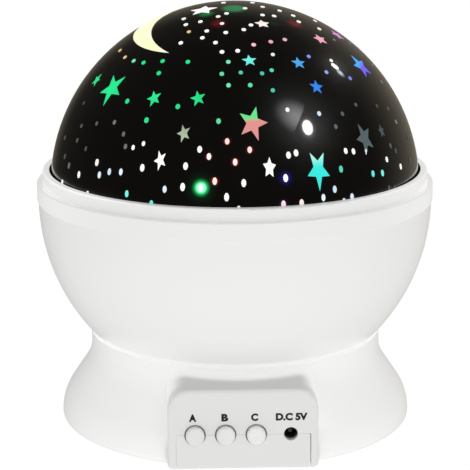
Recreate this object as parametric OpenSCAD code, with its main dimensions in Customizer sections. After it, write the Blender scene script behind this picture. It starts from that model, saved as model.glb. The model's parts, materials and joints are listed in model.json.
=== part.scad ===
// Star night light projector: a globe of bowl, ring and star dome that a geared motor turns on a
// flared base, round a fixed lamp post. Millimetres, +Z up, the table at z = 0, controls at -Y.

/* [Globe] */
// Outer diameter of the bowl
globe_d = 124.2; // [112:0.2:138]
// Wall of the bowl
bowl_wall = 2; // [1.6:0.1:2.6]
// Thickness of the bowl's flat floor
bowl_floor_t = 2.2; // [1.8:0.1:3]
// Outer diameter of the hub in the bowl's floor
hub_d = 24; // [23:0.5:26]

/* [Dome and ring] */
// How far the star dome stands in from the bowl's outside
dome_inset = 3.8; // [3.6:0.1:5]
// Wall of the star dome
dome_wall = 1.4; // [1:0.1:1.8]
// Height of the dome's centre above the bowl's rim
dome_lift = 3.3; // [3:0.1:4]
// Width of the flange at the dome's foot
dome_flange_w = 1.8; // [1.4:0.1:2]
// How far the ring's band stands out beyond the bowl
ring_proud = 0.4; // [0:0.1:1]
// Height of the ring's band
band_h = 5.7; // [5.2:0.1:6.4]
// Step from the band in to the lip, where a cover slides on
lip_step = 1.8; // [1.5:0.1:2.2]
// Height of the lip above the band
lip_h = 3.9; // [3.2:0.1:4.6]
// Width of a snap lug between bowl and ring
snap_w = 10; // [6:1:14]

/* [Base] */
// Outer diameter of the base's neck
neck_d = 92.2; // [91:0.2:98]
// Width of the neck's rim beside the bowl
neck_lip = 0.62; // [0.5:0.02:1]
// How far the foot stands out beyond the neck
flare_w = 9.7; // [9:0.1:12]
// Height of the neck's rim above the table
neck_z = 29.6; // [28.6:0.1:30]
// Wall of the base shell
base_wall = 2; // [1.6:0.1:2.4]
// Radius of the convex curve at the foot
foot_curve_r = 16; // [14:0.5:18]
// Height where the foot's curve starts
foot_curve_z = 2.9; // [2.6:0.1:3.4]
// Radius of the concave curve at the neck
neck_curve_r = 12; // [10:0.5:14]
// Height of the neck's straight rim above its curve
neck_rim_h = 3.7; // [3:0.1:5]
// Gap between the turning bowl and the neck
bowl_gap = 0.35; // [0.3:0.05:0.5]
// Thickness of the deck that carries the lamp post
deck_t = 1.8; // [1.5:0.1:2.4]

/* [Control block] */
// Width of the control block
block_w = 45.2; // [44:0.2:48]
// How far the control face stands back from the foot's edge
face_inset = 0.3; // [0:0.1:1]
// Height of the control face's top edge
block_z = 25.4; // [24:0.1:26]
// Radius of the face's top corners
block_corner_r = 6.5; // [5:0.1:8]
// Rounding of the control face's edge
block_edge_r = 1; // [0.6:0.1:1.4]
// Angle at which the block's top rises to the neck
block_rise = 11; // [8:1:14]
// Width of the bottom cover's tongue in the control face
tongue_w = 40.1; // [39:0.1:40.3]
// Gap on the left of the tongue
tongue_gap_left = 0.1; // [0.1:0.05:0.3]
// Gap on the right of the tongue
tongue_gap_right = 0.35; // [0.1:0.05:0.4]

/* [Controls] */
// Diameter of a button
button_d = 5.6; // [5:0.1:5.8]
// Diameter of a button's hole
button_hole_d = 6.45; // [6.2:0.05:7]
// Spacing of the buttons
button_pitch = 9.15; // [8.9:0.05:9.3]
// Place of button A across the face
button_a_x = -14.4; // [-15.2:0.1:-13.6]
// Height of the buttons and the inlet
control_z = 11.6; // [11.2:0.1:12.2]
// How far a button stands out of the face
button_proud = 1.8; // [1.4:0.1:2.4]
// Travel of a button
button_travel = 0.9; // [0.5:0.1:1]
// Place of the DC inlet across the face
inlet_x = 14.3; // [13.6:0.1:15]
// Diameter of the DC inlet's hole
inlet_d = 4.2; // [4:0.05:4.6]

/* [Battery] */
// Diameter of an AAA cell
cell_d = 10.5; // [10:0.1:10.8]
// Length of an AAA cell
cell_l = 44.5; // [43.6:0.1:45]
// Spacing of the cells
cell_pitch = 10.9; // [10.9:0.1:11.4]
// Wall of the battery bay
bay_wall = 1.3; // [1:0.1:1.6]
// Thickness of the battery door
door_t = 1.5; // [1.2:0.1:1.8]

/* [Underside] */
// Height of the foot pads below the base
pad_h = 0.8; // [0.6:0.1:1.2]
// Diameter of a foot pad
pad_d = 9; // [7:0.5:11]
// Thickness of the bottom cover
plate_t = 2; // [1.8:0.1:2.4]

/* [Drive] */
// Module of the gear pair
gear_module = 0.8; // [0.78:0.01:0.82]
// Teeth of the gear under the bowl
gear_teeth = 60; // [57:1:61]
// Teeth of the motor's pinion
pinion_teeth = 12; // [11:1:13]
// Profile shift: the pinion gains what the gear gives up
gear_shift = 0.35; // [0.3:0.01:0.4]
// Thickness of the drive gear
gear_t = 3.6; // [3:0.1:3.8]
// Backlash of the gear pair
gear_backlash = 0.12; // [0.08:0.01:0.2]
// Diameter of the motor's can
motor_d = 23.5; // [22:0.5:24]
// Diameter of the motor's shaft
shaft_d = 3; // [2:0.1:3.4]

/* [Lamp] */
// Diameter of the post where the globe turns on it
journal_d = 18; // [17:0.1:18.4]
// Radial clearance of the globe on the post
journal_gap = 0.05; // [0.03:0.01:0.08]
// Diameter of the post above the hub
post_d = 14; // [13:0.5:15]
// Bore for the leads in the post
post_bore_d = 9; // [8:0.5:10]
// Depth of the lamp board below the bowl's rim
lamp_board_drop = 6.4; // [5:0.2:10]
// Diameter of the lamp board
lamp_board_d = 42; // [38:1:50]
// Diameter of a lamp
lamp_d = 5; // [4:0.5:6]

/* [Hidden] */
$fn = 96;

white = [0.94, 0.94, 0.93];
steel = [0.75, 0.76, 0.78];

eps = 0.01;
cut_over = 5;
fit_gap = 0.2;
seat_gap = 0.1;
big = 200;

// Globe
globe_r = globe_d / 2;
cup_r = globe_r + bowl_gap;
neck_r = neck_d / 2;
rim_z = neck_z + sqrt(pow(cup_r, 2) - pow(neck_r - neck_lip, 2));
dome_r = globe_r - dome_inset;
dome_z = rim_z + dome_lift;
ring_r = globe_r + ring_proud;
ring_ledge_z = rim_z + band_h;
ring_top = ring_ledge_z + lip_h;
lip_r = ring_r - lip_step;
dome_flange_r = dome_r + dome_flange_w;
pocket_r = dome_flange_r + fit_gap;
upstand_r = dome_flange_r - seat_gap;
upstand_w = 1.5;
upstand_h = 3;
upstand_top = dome_z - dome_wall - seat_gap / 2;
ring_bore_r = dome_r + 0.15;
ring_edge_r = 0.5;
snap_out = 0.7;
snap_h = 1.2;
snap_lift = 0.6;
snap_angles = [45 : 90 : 315];

// Base
foot_r = neck_r + flare_w;
foot_edge_r = foot_curve_z - pad_h;
curve_bite = 0.01;
neck_curve_z = neck_z - neck_rim_h;
plate_top = pad_h + plate_t;
plate_inset = 4.5;
plate_r = foot_r - plate_inset;

// Battery bay, built up from the underside
cell_base = pad_h + door_t + 0.65;
cell_z = cell_base + cell_d / 2;
cell_count = 4;
cell_nub_r = 1.9;
cell_nub_h = 0.8;
spring_room = 4.4;
contact_t = 0.4;
contact_bump = 0.5;
contact_w = 7.6;
spring_wide_r = 3.4;
spring_narrow_r = 2;
spring_wire_r = 0.3;
bay_l = cell_l + spring_room + 2 * contact_t + contact_bump;
bay_w = cell_pitch * (cell_count - 1) + cell_d + 0.6;
bay_roof = cell_base + cell_d + 0.25;
bay_top = bay_roof + bay_wall;
cell_x = bay_l / 2 - contact_t - contact_bump - cell_l / 2;
door_lap = 0.9;
door_w = bay_w + 2 * door_lap;
door_l = bay_l + 2 * door_lap;
door_ear_r = 4;
door_ear_x = door_l / 2 + 2.2;
door_seat_z = pad_h + door_t + seat_gap;
door_rib_w = 1.2;
door_rib_h = 0.4;
door_rib_x = 12;
door_grip_l = 10;
door_grip_pitch = 2;
door_head_z = pad_h + 0.9;
door_head_h = 0.8;
door_screw_l = 4.4;
door_boss_h = 6;
bay_flange_w = 2;
bay_flange_t = 1.8;
gusset_t = 1.2;
gusset_h = 7;
gusset_x = [-20, -8, 8, 20];
gusset_y = [-17, -9, 9, 17];

// Deck and what stands on it
deck_z = bay_top + 1.6;
deck_top = deck_z + deck_t;
post_flange_t = 1.5;
post_screw_ring = journal_d / 2 + 4.4;
post_screw_angles = [30 : 120 : 270];
post_flange_r = post_screw_ring + 2;
post_shoulder_r = journal_d / 2 + 2.8;
shoulder_z = deck_top + post_flange_t + 1.1;
washer_t = 0.6;
hub_z = shoulder_z + washer_t + seat_gap;
gear_z = deck_top + 2.2;
bowl_floor_z = gear_z + gear_t;
bowl_floor_top = bowl_floor_z + bowl_floor_t;
hub_top = bowl_floor_top + 2;
clip_t = 1.2;
clip_z = hub_top + fit_gap;
clip_w = 2.4;
clip_mouth = 20;
journal_end = clip_z + clip_t + 1.4;
journal_r = journal_d / 2;
clip_groove_r = journal_r - 0.8;
board_z = rim_z - lamp_board_drop;
post_top_flange_t = 1.6;
post_top_flange_w = 3;
post_top_flange_r = post_d / 2 + post_top_flange_w;
lamp_board_screw_x = post_top_flange_r - 2.6;
board_t = 1.6;
lead_hole_r = 2;

// Drive
gear_bore_r = post_flange_r + 0.6;
centre_distance = gear_module * (gear_teeth + pinion_teeth) / 2 + 0.05;
pinion_z = gear_z - 0.2;
pinion_t = gear_t - 0.1;
pinion_hub_r = 3;
pinion_hub_z = deck_top + 0.5;
pinion_hole_r = gear_module * (pinion_teeth / 2 + 1 + gear_shift) + 0.7;
shaft_r = shaft_d / 2;
shaft_gap = 0.05;
shaft_seat = 2.4;
motor_offset = 7.2;
motor_y = centre_distance + motor_offset;
motor_top = deck_z - 1.4;
motor_base = door_seat_z + bay_flange_t + fit_gap;
motor_ear_x = 14.5;
motor_ear_r = 3;
motor_ear_t = 1;
motor_nose_r = 4;
motor_nose_h = 1;
gear_screw_ring = gear_bore_r + 2.9;
gear_screw_angles = [90 : 120 : 330];
gear_screw_stop = 0.6;

// Screws
screw_r = 1.1;
screw_hole_r = screw_r + 0.05;
screw_head_r = 2.1;
screw_head_h = 1;
small_screw_r = 0.8;
small_hole_r = small_screw_r + 0.05;
small_head_r = 1.5;
small_head_h = 0.9;
thread_l = 3;
case_screw_x = 36;
case_screw_y = 25;
case_boss_r = 3.2;
boss_rib_t = 1.2;
boss_angles = [for (sx = [-1, 1], sy = [-1, 1]) atan2(sy * case_screw_y, sx * case_screw_x)];
case_screw_l = 8;
case_head_z = pad_h + screw_head_h + 0.3;
pad_x = 23.3;
pad_y = 37.3;
pad_recess = 0.4;

// Control block and board
block_y = foot_r - face_inset;
face_back = block_y - base_wall;
block_foot_r = 1.4 * block_edge_r;
block_reach = 16;
block_back = block_y - neck_r + block_reach;
block_split = block_z - block_corner_r - 4;
block_step = 0.05;
block_pocket_d = 5.4;
block_pocket_y = foot_r - block_pocket_d;
pocket_step = 0.3;
board_top = control_z - 3.5;
board_w = 38;
board_back = bay_w / 2 + bay_wall + bay_flange_w + 0.8;
board_screw_x = 16;
board_screw_y = board_back + 3;
standoff_r = 2.4;
button_r = button_d / 2;
button_hole_r = button_hole_d / 2;
button_flange_r = button_hole_r + 0.8;
button_flange_t = 1;
stem_r = 1.5;
stem_l = 1.4 + button_travel;
switch_w = 6;
switch_d = 4.6;
switch_h = 6.6;
switch_front = face_back - 0.3 - button_flange_t - button_travel - 0.5;
switch_bore_r = stem_r + 0.1;
board_front = switch_front + 0.1;
button_x = [for (i = [0 : 2]) button_a_x + i * button_pitch];
inlet_r = inlet_d / 2;
jack_front = face_back - 0.15;
jack_w = 6.4;
jack_h = 6.4;
jack_l = 10;
jack_bore_r = inlet_r - 0.3;
jack_pin_r = 0.65;
jack_recess = 1.6;

// Parts on the control board: sizes, and places in X and Y
chip_size = [8.6, 3.9, 1.5];
chip_stand = 0.3;
chip_pins = 7;
chip_pitch = 1.27;
chip_leg = [0.45, 6, 0.55];
chip_dot_r = 0.4;
chip_place = [-2, -board_back - 12];
capacitor_r = 2.5;
capacitor_h = 6.4;
capacitor_bead_z = 1.3;
capacitor_bead_r = 0.5;
capacitor_mark = 0.3;
capacitor_place = [-13.5, -board_back - 11];
socket_size = [6, 4.6, 5];
socket_wall = 0.7;
socket_pin_r = 0.35;
socket_pitch = 2;
socket_x = [-9, 0, 9];
socket_y = -board_back - 3.2;

// Lead cap on the motor's side
motor_cap_w = 14;
motor_cap_out = 2.6;
motor_cap_h = 6.5;
motor_cap_lift = 0.6;

// Lamps: place on the lamp board, in X and Y
lamp_h = 3.6;
lamp_rim_w = 0.4;
lamp_rim_h = 0.9;
white_places = [[0, -9], [0, 9]];
red_places = [[-6.5, 5.5]];
green_places = [[-11.4, -4]];
blue_places = [[lamp_board_d / 2 - 5, -2]];
resistor_size = [3.2, 1.6, 0.7];
resistor_places = [[6.5, 8], [-6.5, -8.5], [-14.5, 4], [13.5, 6]];
lamp_socket_place = [8, -9.6];

// ---------------------------------------------------------------- shared shapes

// A ring between two radii
module ring(r_out, r_in, h, z = 0) {
    translate([0, 0, z]) difference() {
        cylinder(r = r_out, h = h);
        translate([0, 0, -1]) cylinder(r = r_in, h = h + 2);
    }
}

// A box centred in X and Y on a given base height
module block(size, place) {
    translate([place[0] - size[0] / 2, place[1] - size[1] / 2, place[2]]) cube(size);
}

// Copies a shape to the four quadrants
module quadrants(x, y) {
    for (sx = [-1, 1], sy = [-1, 1]) translate([sx * x, sy * y, 0]) children();
}

// A pan-head screw whose head's underside lies at the origin and whose shank goes down
module screw(r, head_r, head_h, l) {
    recess = head_h * 0.6;
    difference() {
        union() {
            translate([0, 0, -l]) cylinder(r = r, h = l + eps);
            cylinder(r1 = head_r, r2 = head_r * 0.8, h = head_h);
        }
        for (a = [0, 90]) rotate([0, 0, a])
            block([head_r * 1.1, head_r * 0.28, recess + 1], [0, 0, head_h - recess]);
    }
}

// Involute angle in degrees of a point at radius r on the involute of base radius rb
function involute(rb, r) = r <= rb ? 0 : sqrt(pow(r / rb, 2) - 1) * 180 / PI - acos(rb / r);

// Outline of an involute spur gear with a tooth on the X axis
module spur_gear(teeth, shift) {
    pressure = 20;
    pitch_r = gear_module * teeth / 2;
    base_r = pitch_r * cos(pressure);
    tip_r = pitch_r + gear_module * (1 + shift);
    root_r = pitch_r - gear_module * (1.25 - shift);
    half_tooth = 90 / teeth + (2 * shift * tan(pressure) / teeth - gear_backlash / 2 / pitch_r) * 90 / PI * 2;
    start_r = max(base_r, root_r);
    steps = 2;
    radii = [for (i = [0 : steps]) start_r + (tip_r - start_r) * i / steps];
    function half(r) = half_tooth + involute(base_r, pitch_r) - involute(base_r, r);
    function at(r, a) = [r * cos(a), r * sin(a)];
    polygon([for (t = [0 : teeth - 1]) let (a = t * 360 / teeth) each concat(
        [at(root_r, a - half(start_r) - 0.2)],
        [for (r = radii) at(r, a - half(r))],
        [for (i = [steps : -1 : 0]) at(radii[i], a + half(radii[i]))],
        [at(root_r, a + half(start_r) + 0.2)]
    )]);
}

// ---------------------------------------------------------------- base

// Half outline of the flare between two heights, set in by w: two arcs joined by their common tangent
module flare_outline(w, z_low, z_high) {
    foot_c = [foot_r - foot_curve_r, foot_curve_z];
    neck_c = [neck_r + neck_curve_r, neck_curve_z];
    span = neck_c - foot_c;
    slope = atan2(span[1], span[0]) - acos((foot_curve_r + neck_curve_r) / norm(span));
    normal = [cos(slope), sin(slope)];
    low = foot_c + (foot_curve_r - w) * normal;
    high = neck_c - (neck_curve_r + w - curve_bite) * normal;
    difference() {
        union() {
            polygon([
                [0, z_low], [foot_r - w, z_low], [foot_r - w, foot_curve_z], low, high,
                [neck_r - w, neck_curve_z], [neck_r - w, z_high], [0, z_high],
            ]);
            intersection() {
                translate(foot_c) circle(r = foot_curve_r - w);
                translate(foot_c) square([foot_curve_r, low[1] - foot_c[1]]);
            }
        }
        translate(neck_c) circle(r = neck_curve_r + w);
    }
}

// The outside of the flared base as a solid
module flare() {
    rotate_extrude() {
        flare_outline(0, foot_curve_z, neck_z);
        translate([0, pad_h]) square([foot_r - foot_edge_r, foot_edge_r]);
        intersection() {
            translate([foot_r - foot_edge_r, foot_curve_z]) circle(r = foot_edge_r);
            translate([foot_r - foot_edge_r, pad_h]) square([foot_edge_r, foot_edge_r]);
        }
    }
}

// The room inside the flared base, from the bottom cover up
module flare_room() {
    rotate_extrude() flare_outline(base_wall, plate_top, neck_z + 1);
}

// Half section of the control face's rounded edge: x runs out to the edge, y back from the face
module edge_section(r, depth) {
    e = block_edge_r;
    square([r - e, depth]);
    translate([r - e, e]) square([e, depth - e]);
    intersection() {
        translate([r - e, e]) circle(r = e);
        translate([r - e, 0]) square([e, e]);
    }
}

// The front of the control block: a slab whose face has rounded edges and corners
module block_face(depth) {
    half_w = block_w / 2;
    top_r = block_corner_r;
    side_h = block_z - top_r - pad_h - block_foot_r;
    translate([0, -block_y, 0]) {
        block([2 * (half_w - top_r), depth, side_h], [0, depth / 2, pad_h + block_foot_r]);
        translate([half_w - top_r, 0, block_z - top_r]) rotate([0, -90, 0])
            linear_extrude(height = 2 * (half_w - top_r)) edge_section(top_r, depth);
        translate([block_foot_r - half_w, 0, pad_h + block_foot_r]) rotate([0, 90, 0])
            linear_extrude(height = 2 * (half_w - block_foot_r)) edge_section(block_foot_r, depth);
        for (side = [0, 1]) mirror([side, 0, 0]) {
            translate([half_w - top_r, 0, pad_h + block_foot_r])
                linear_extrude(height = side_h) edge_section(top_r, depth);
            translate([half_w - top_r, 0, block_z - top_r]) rotate([-90, 0, 0]) rotate([0, 0, -90])
                rotate_extrude(angle = 90) edge_section(top_r, depth);
            translate([half_w - block_foot_r, 0, pad_h + block_foot_r]) rotate([-90, 0, 0])
                rotate_extrude(angle = 90) edge_section(block_foot_r, depth);
        }
    }
}

// A stretch behind the control face, between two depths
module block_stretch(front, back) {
    translate([-block_w / 2 - 1, front - block_y, 0]) cube([block_w + 2, back - front, big]);
}

// Two corner quadrants and the bar between them: the top of a shape, or its foot when mirrored
module round_corners(half_w, r) {
    translate([r - half_w, -r]) square([2 * (half_w - r), r]);
    for (side = [0, 1]) mirror([side, 0]) intersection() {
        translate([half_w - r, -r]) circle(r = r);
        translate([half_w - r, -r]) square(r);
    }
}

// The block's upper body behind the face, set in by w: its top rises towards the neck
module block_upper(w, front, back) {
    half_w = block_w / 2 - w;
    top_r = block_corner_r - w;
    top = block_z - w;
    low = block_split - back * tan(block_rise) - 1;
    intersection() {
        block_stretch(front, back);
        translate([0, front - block_y, block_z]) rotate([block_rise, 0, 0])
            translate([0, back, -block_z]) rotate([90, 0, 0]) linear_extrude(height = back + cut_over) {
                translate([-half_w, low]) square([2 * half_w, top - top_r - low]);
                translate([0, top]) round_corners(half_w, top_r);
            }
    }
}

// The block's straight lower body behind the face, set in by w
module block_lower(w, front, back) {
    half_w = block_w / 2 - w;
    low_r = max(block_foot_r - w, 0.2);
    intersection() {
        block_stretch(front, back);
        translate([0, back - block_y + 1, 0]) rotate([90, 0, 0]) linear_extrude(height = back + cut_over) {
            translate([-half_w, pad_h + w + low_r]) square([2 * half_w, block_split - pad_h - w - low_r]);
            translate([0, pad_h + w]) mirror([0, 1]) round_corners(half_w, low_r);
        }
    }
}

// The outside of the control block as a solid
module control_block() {
    block_lower(block_step, 1.5 * block_edge_r, block_back);
    block_upper(block_step, 1.5 * block_edge_r, block_back);
    block_face(2 * block_edge_r);
}

// The room for the control board behind the face, up to the deck
module board_room() {
    half_w = block_w / 2 - base_wall;
    translate([-half_w, -face_back, pad_h]) cube([2 * half_w, block_back, deck_z - 0.5 - pad_h]);
}

// The opening in shell and face that the bottom cover's tongue fills, grown by the gaps
module tongue_slot(left, right, top) {
    half_w = tongue_w / 2;
    translate([-half_w - left, -block_y - cut_over, -1])
        cube([tongue_w + left + right, cut_over + base_wall, top + 1]);
    translate([-half_w - left, -block_y - cut_over, -1])
        cube([tongue_w + left + right, block_y - bay_w / 2, plate_top + 1]);
}

// Bores of the buttons and of the inlet through the control face
module face_holes() {
    for (x = button_x) translate([x, -block_y - 3, control_z]) rotate([-90, 0, 0])
        cylinder(r = button_hole_r, h = base_wall + 3.5);
    translate([inlet_x, -block_y - 3, control_z]) rotate([-90, 0, 0])
        cylinder(r = inlet_r, h = base_wall + 3.5);
}

// Ribs that tie the case screws' bosses to the flared wall, up to the deck
module boss_ribs() {
    for (a = boss_angles) rotate([90, 0, a]) linear_extrude(height = boss_rib_t, center = true) intersection() {
        flare_outline(base_wall / 2, plate_top, neck_z);
        translate([norm([case_screw_x, case_screw_y]), plate_top]) square([foot_r, deck_z - plate_top + eps]);
    }
}

module base_shell() color(white) {
    difference() {
        union() {
            difference() {
                union() {
                    flare();
                    block_lower(block_step, 1.5 * block_edge_r, block_back);
                    block_upper(block_step, 1.5 * block_edge_r, block_back);
                    block_face(2 * block_edge_r);
                }
                difference() {
                    flare_room();
                    translate([0, 0, deck_z]) cylinder(r = foot_r, h = deck_t);
                }
                board_room();
                block_upper(base_wall + pocket_step, base_wall + pocket_step, block_y - block_pocket_y);
            }
            quadrants(case_screw_x, case_screw_y)
                translate([0, 0, plate_top]) cylinder(r = case_boss_r, h = deck_z - plate_top + eps);
            boss_ribs();
            for (s = [-1, 1]) translate([s * motor_ear_x, motor_y, motor_top])
                cylinder(r = motor_ear_r, h = deck_z - motor_top + eps);
        }
        translate([0, 0, -1]) cylinder(r = plate_r + fit_gap, h = plate_top + 1);
        translate([-big / 2, -block_y - big, -1]) cube([big, big, big]);
        translate([0, 0, rim_z]) sphere(r = cup_r);
        tongue_slot(tongue_gap_left, tongue_gap_right, control_z);
        face_holes();
        translate([0, 0, deck_z - 1]) cylinder(r = post_bore_d / 2, h = deck_t + 2);
        translate([0, centre_distance, deck_z - 1]) cylinder(r = pinion_hole_r, h = deck_t + 2);
        quadrants(case_screw_x, case_screw_y)
            translate([0, 0, plate_top - 1]) cylinder(r = screw_hole_r, h = case_screw_l + 1.4);
        for (s = [-1, 1]) translate([s * motor_ear_x, motor_y, motor_top - 1])
            cylinder(r = small_hole_r, h = 1 + deck_z - motor_top + deck_t - 0.5);
        for (a = post_screw_angles) rotate([0, 0, a]) translate([post_screw_ring, 0, deck_z - 1])
            cylinder(r = small_hole_r, h = deck_t + 2);
    }
}

// Outline of the battery door, grown by g
module door_outline(g) {
    square([door_l + 2 * g, door_w + 2 * g], center = true);
    translate([door_ear_x, 0]) circle(r = door_ear_r + g);
}

// A triangular web on the bay's flange, against a wall that faces +X
module gusset() {
    rotate([90, 0, 0]) linear_extrude(height = gusset_t, center = true)
        polygon([[-bay_wall / 2, 0], [bay_flange_w, 0], [0, gusset_h], [-bay_wall / 2, gusset_h]]);
}

// Gussets round the battery bay
module bay_gussets() {
    z = door_seat_z + bay_flange_t - eps;
    for (s = [-1, 1]) {
        for (x = gusset_x) translate([x, s * (bay_w / 2 + bay_wall), z]) rotate([0, 0, s * 90]) gusset();
        for (y = gusset_y) translate([s * (bay_l / 2 + bay_wall), y, z]) rotate([0, 0, 90 - s * 90]) gusset();
    }
}

module bottom_cover() color(white) {
    difference() {
        union() {
            translate([0, 0, pad_h]) cylinder(r = plate_r, h = plate_t);
            intersection() {
                control_block();
                difference() {
                    tongue_slot(0, 0, control_z - 0.06);
                    translate([-big / 2, -neck_r, -2]) cube([big, big, big]);
                }
            }
            translate([-tongue_w / 2, -neck_r - 2, pad_h]) cube([tongue_w, neck_r - bay_w / 2, plate_t]);
            block([bay_l + 2 * bay_wall, bay_w + 2 * bay_wall, bay_top - door_seat_z], [0, 0, door_seat_z]);
            block([bay_l + 2 * (bay_wall + bay_flange_w), bay_w + 2 * (bay_wall + bay_flange_w), bay_flange_t],
                [0, 0, door_seat_z]);
            bay_gussets();
            translate([door_ear_x, 0, door_seat_z]) cylinder(r = door_ear_r + 1.4, h = door_boss_h);
            for (s = [-1, 1]) translate([s * board_screw_x, -board_screw_y, pad_h])
                cylinder(r = standoff_r, h = board_top - board_t - pad_h);
        }
        face_holes();
        block([bay_l, bay_w, bay_roof + 1], [0, 0, -1]);
        translate([0, 0, -1]) linear_extrude(height = door_seat_z + 1) door_outline(fit_gap);
        translate([door_ear_x, 0, 0]) cylinder(r = small_hole_r, h = door_head_z + door_screw_l + 0.7);
        quadrants(case_screw_x, case_screw_y) {
            cylinder(r = screw_hole_r + fit_gap, h = big / 2);
            cylinder(r = screw_head_r + fit_gap, h = case_head_z);
        }
        quadrants(pad_x, pad_y) cylinder(r = pad_d / 2, h = pad_h + pad_recess);
        for (s = [-1, 1]) translate([s * board_screw_x, -board_screw_y, plate_top])
            cylinder(r = small_hole_r, h = big / 2);
    }
}

module foot_pads() color("gainsboro") {
    quadrants(pad_x, pad_y) cylinder(r = pad_d / 2, h = pad_h + pad_recess);
}

module case_screws() color(steel) {
    quadrants(case_screw_x, case_screw_y) translate([0, 0, case_head_z]) mirror([0, 0, 1])
        screw(screw_r, screw_head_r, screw_head_h, case_screw_l);
}

// ---------------------------------------------------------------- battery bay

// Places children at each cell; neighbours point opposite ways
module each_cell() {
    for (i = [0 : cell_count - 1]) translate([0, (i - (cell_count - 1) / 2) * cell_pitch, cell_z])
        mirror([i % 2, 0, 0]) children();
}

module battery_cells() color("dimgray") {
    each_cell() translate([cell_x - cell_l / 2, 0, 0]) rotate([0, 90, 0]) {
        cylinder(r = cell_d / 2, h = cell_l - cell_nub_h);
        cylinder(r = cell_nub_r, h = cell_l);
    }
}

// A conical coil spring along X, from a contact plate to a cell's flat end
module cell_spring(l, r0, r1, wire_r) {
    turns = 3;
    steps = 10;
    sides = 5;
    n = turns * steps;
    function centre(i) = let (a = i * 360 / steps, r = r0 + (r1 - r0) * i / n)
        [wire_r + (l - 2 * wire_r) * i / n, r * cos(a), r * sin(a)];
    function point(i, j) = let (a = i * 360 / steps, b = j * 360 / sides)
        centre(i) + wire_r * [sin(b), cos(b) * cos(a), cos(b) * sin(a)];
    points = [for (i = [0 : n], j = [0 : sides - 1]) point(i, j)];
    walls = [for (i = [0 : n - 1], j = [0 : sides - 1]) let (k = (j + 1) % sides)
        [i * sides + j, i * sides + k, (i + 1) * sides + k, (i + 1) * sides + j]];
    polyhedron(points = points, faces = concat(walls, [[for (j = [sides - 1 : -1 : 0]) j]],
        [[for (j = [0 : sides - 1]) n * sides + j]]));
}

module battery_springs() color(steel) {
    each_cell() translate([-bay_l / 2 + contact_t, 0, 0])
        cell_spring(cell_x - cell_l / 2 + bay_l / 2 - contact_t, spring_wide_r, spring_narrow_r, spring_wire_r);
}

module battery_contacts() color(steel) {
    each_cell() {
        for (x = [-bay_l / 2, bay_l / 2 - contact_t]) translate([x, -contact_w / 2, -contact_w / 2])
            cube([contact_t, contact_w, contact_w]);
        translate([bay_l / 2 - contact_t - contact_bump + 0.02, 0, 0]) rotate([0, 90, 0])
            cylinder(r = cell_nub_r, h = contact_bump);
    }
}

module battery_door() color(white) {
    difference() {
        union() {
            translate([0, 0, pad_h]) linear_extrude(height = door_t) door_outline(0);
            for (s = [-1, 1])
                block([door_rib_w, bay_w - 4, door_rib_h], [s * door_rib_x, 0, pad_h + door_t - eps]);
        }
        translate([door_ear_x, 0, 0]) cylinder(r = small_screw_r + fit_gap, h = big / 4);
        translate([door_ear_x, 0, 0]) cylinder(r = small_head_r + 0.3, h = door_head_z);
        for (i = [1 : 5])
            block([door_grip_pitch / 2, door_grip_l, door_rib_h],
                [door_l / 2 - door_grip_pitch * (i + 1), 0, pad_h - eps]);
    }
}

module door_screw() color(steel) {
    translate([door_ear_x, 0, door_head_z]) mirror([0, 0, 1])
        screw(small_screw_r, small_head_r, door_head_h, door_screw_l);
}

// ---------------------------------------------------------------- controls

module control_board() color("darkgreen") {
    difference() {
        block([board_w, board_front - board_back, board_t],
            [0, -(board_front + board_back) / 2, board_top - board_t]);
        for (s = [-1, 1]) translate([s * board_screw_x, -board_screw_y, 0])
            cylinder(r = small_hole_r + 0.2, h = board_top + 1);
    }
}

module board_screws() color(steel) {
    for (s = [-1, 1]) translate([s * board_screw_x, -board_screw_y, board_top])
        screw(small_screw_r, small_head_r, small_head_h, board_t + thread_l);
}

module tact_switches() color([0.15, 0.15, 0.16]) {
    for (x = button_x) difference() {
        block([switch_w, switch_d, switch_h], [x, -switch_front + switch_d / 2, board_top]);
        translate([x, -switch_front - 1, control_z]) rotate([-90, 0, 0])
            cylinder(r = switch_bore_r, h = switch_d - 0.2);
    }
}

module inlet_jack() color([0.1, 0.1, 0.1]) {
    difference() {
        block([jack_w, jack_l, jack_h], [inlet_x, -jack_front + jack_l / 2, board_top]);
        translate([inlet_x, -jack_front - 1, control_z]) rotate([-90, 0, 0])
            cylinder(r = jack_bore_r, h = jack_l);
    }
}

module inlet_pin() color(steel) {
    translate([inlet_x, -jack_front + jack_recess, control_z]) rotate([-90, 0, 0])
        cylinder(r = jack_pin_r, h = jack_l - 1 - jack_recess);
}

// A chip with a row of legs on each long side and a dot at its first leg
module board_chip() color([0.12, 0.12, 0.13]) {
    translate([chip_place[0], chip_place[1], board_top]) {
        difference() {
            block(chip_size, [0, 0, chip_stand]);
            translate([1 - chip_size[0] / 2, 1 - chip_size[1] / 2, chip_stand + chip_size[2] - chip_dot_r / 2])
                cylinder(r = chip_dot_r, h = 1);
        }
        for (i = [0 : chip_pins - 1]) block(chip_leg, [(i - (chip_pins - 1) / 2) * chip_pitch, 0, 0]);
    }
}

// A can capacitor with a bead near its foot and a relief cross on its top
module board_capacitor() color([0.2, 0.2, 0.24]) {
    translate([capacitor_place[0], capacitor_place[1], board_top]) difference() {
        cylinder(r = capacitor_r, h = capacitor_h);
        translate([0, 0, capacitor_bead_z]) rotate_extrude()
            translate([capacitor_r + capacitor_bead_r / 2, 0]) circle(r = capacitor_bead_r);
        for (a = [0, 90]) rotate([0, 0, a])
            block([capacitor_r * 1.2, capacitor_mark, 1], [0, 0, capacitor_h - capacitor_mark]);
    }
}

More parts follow.
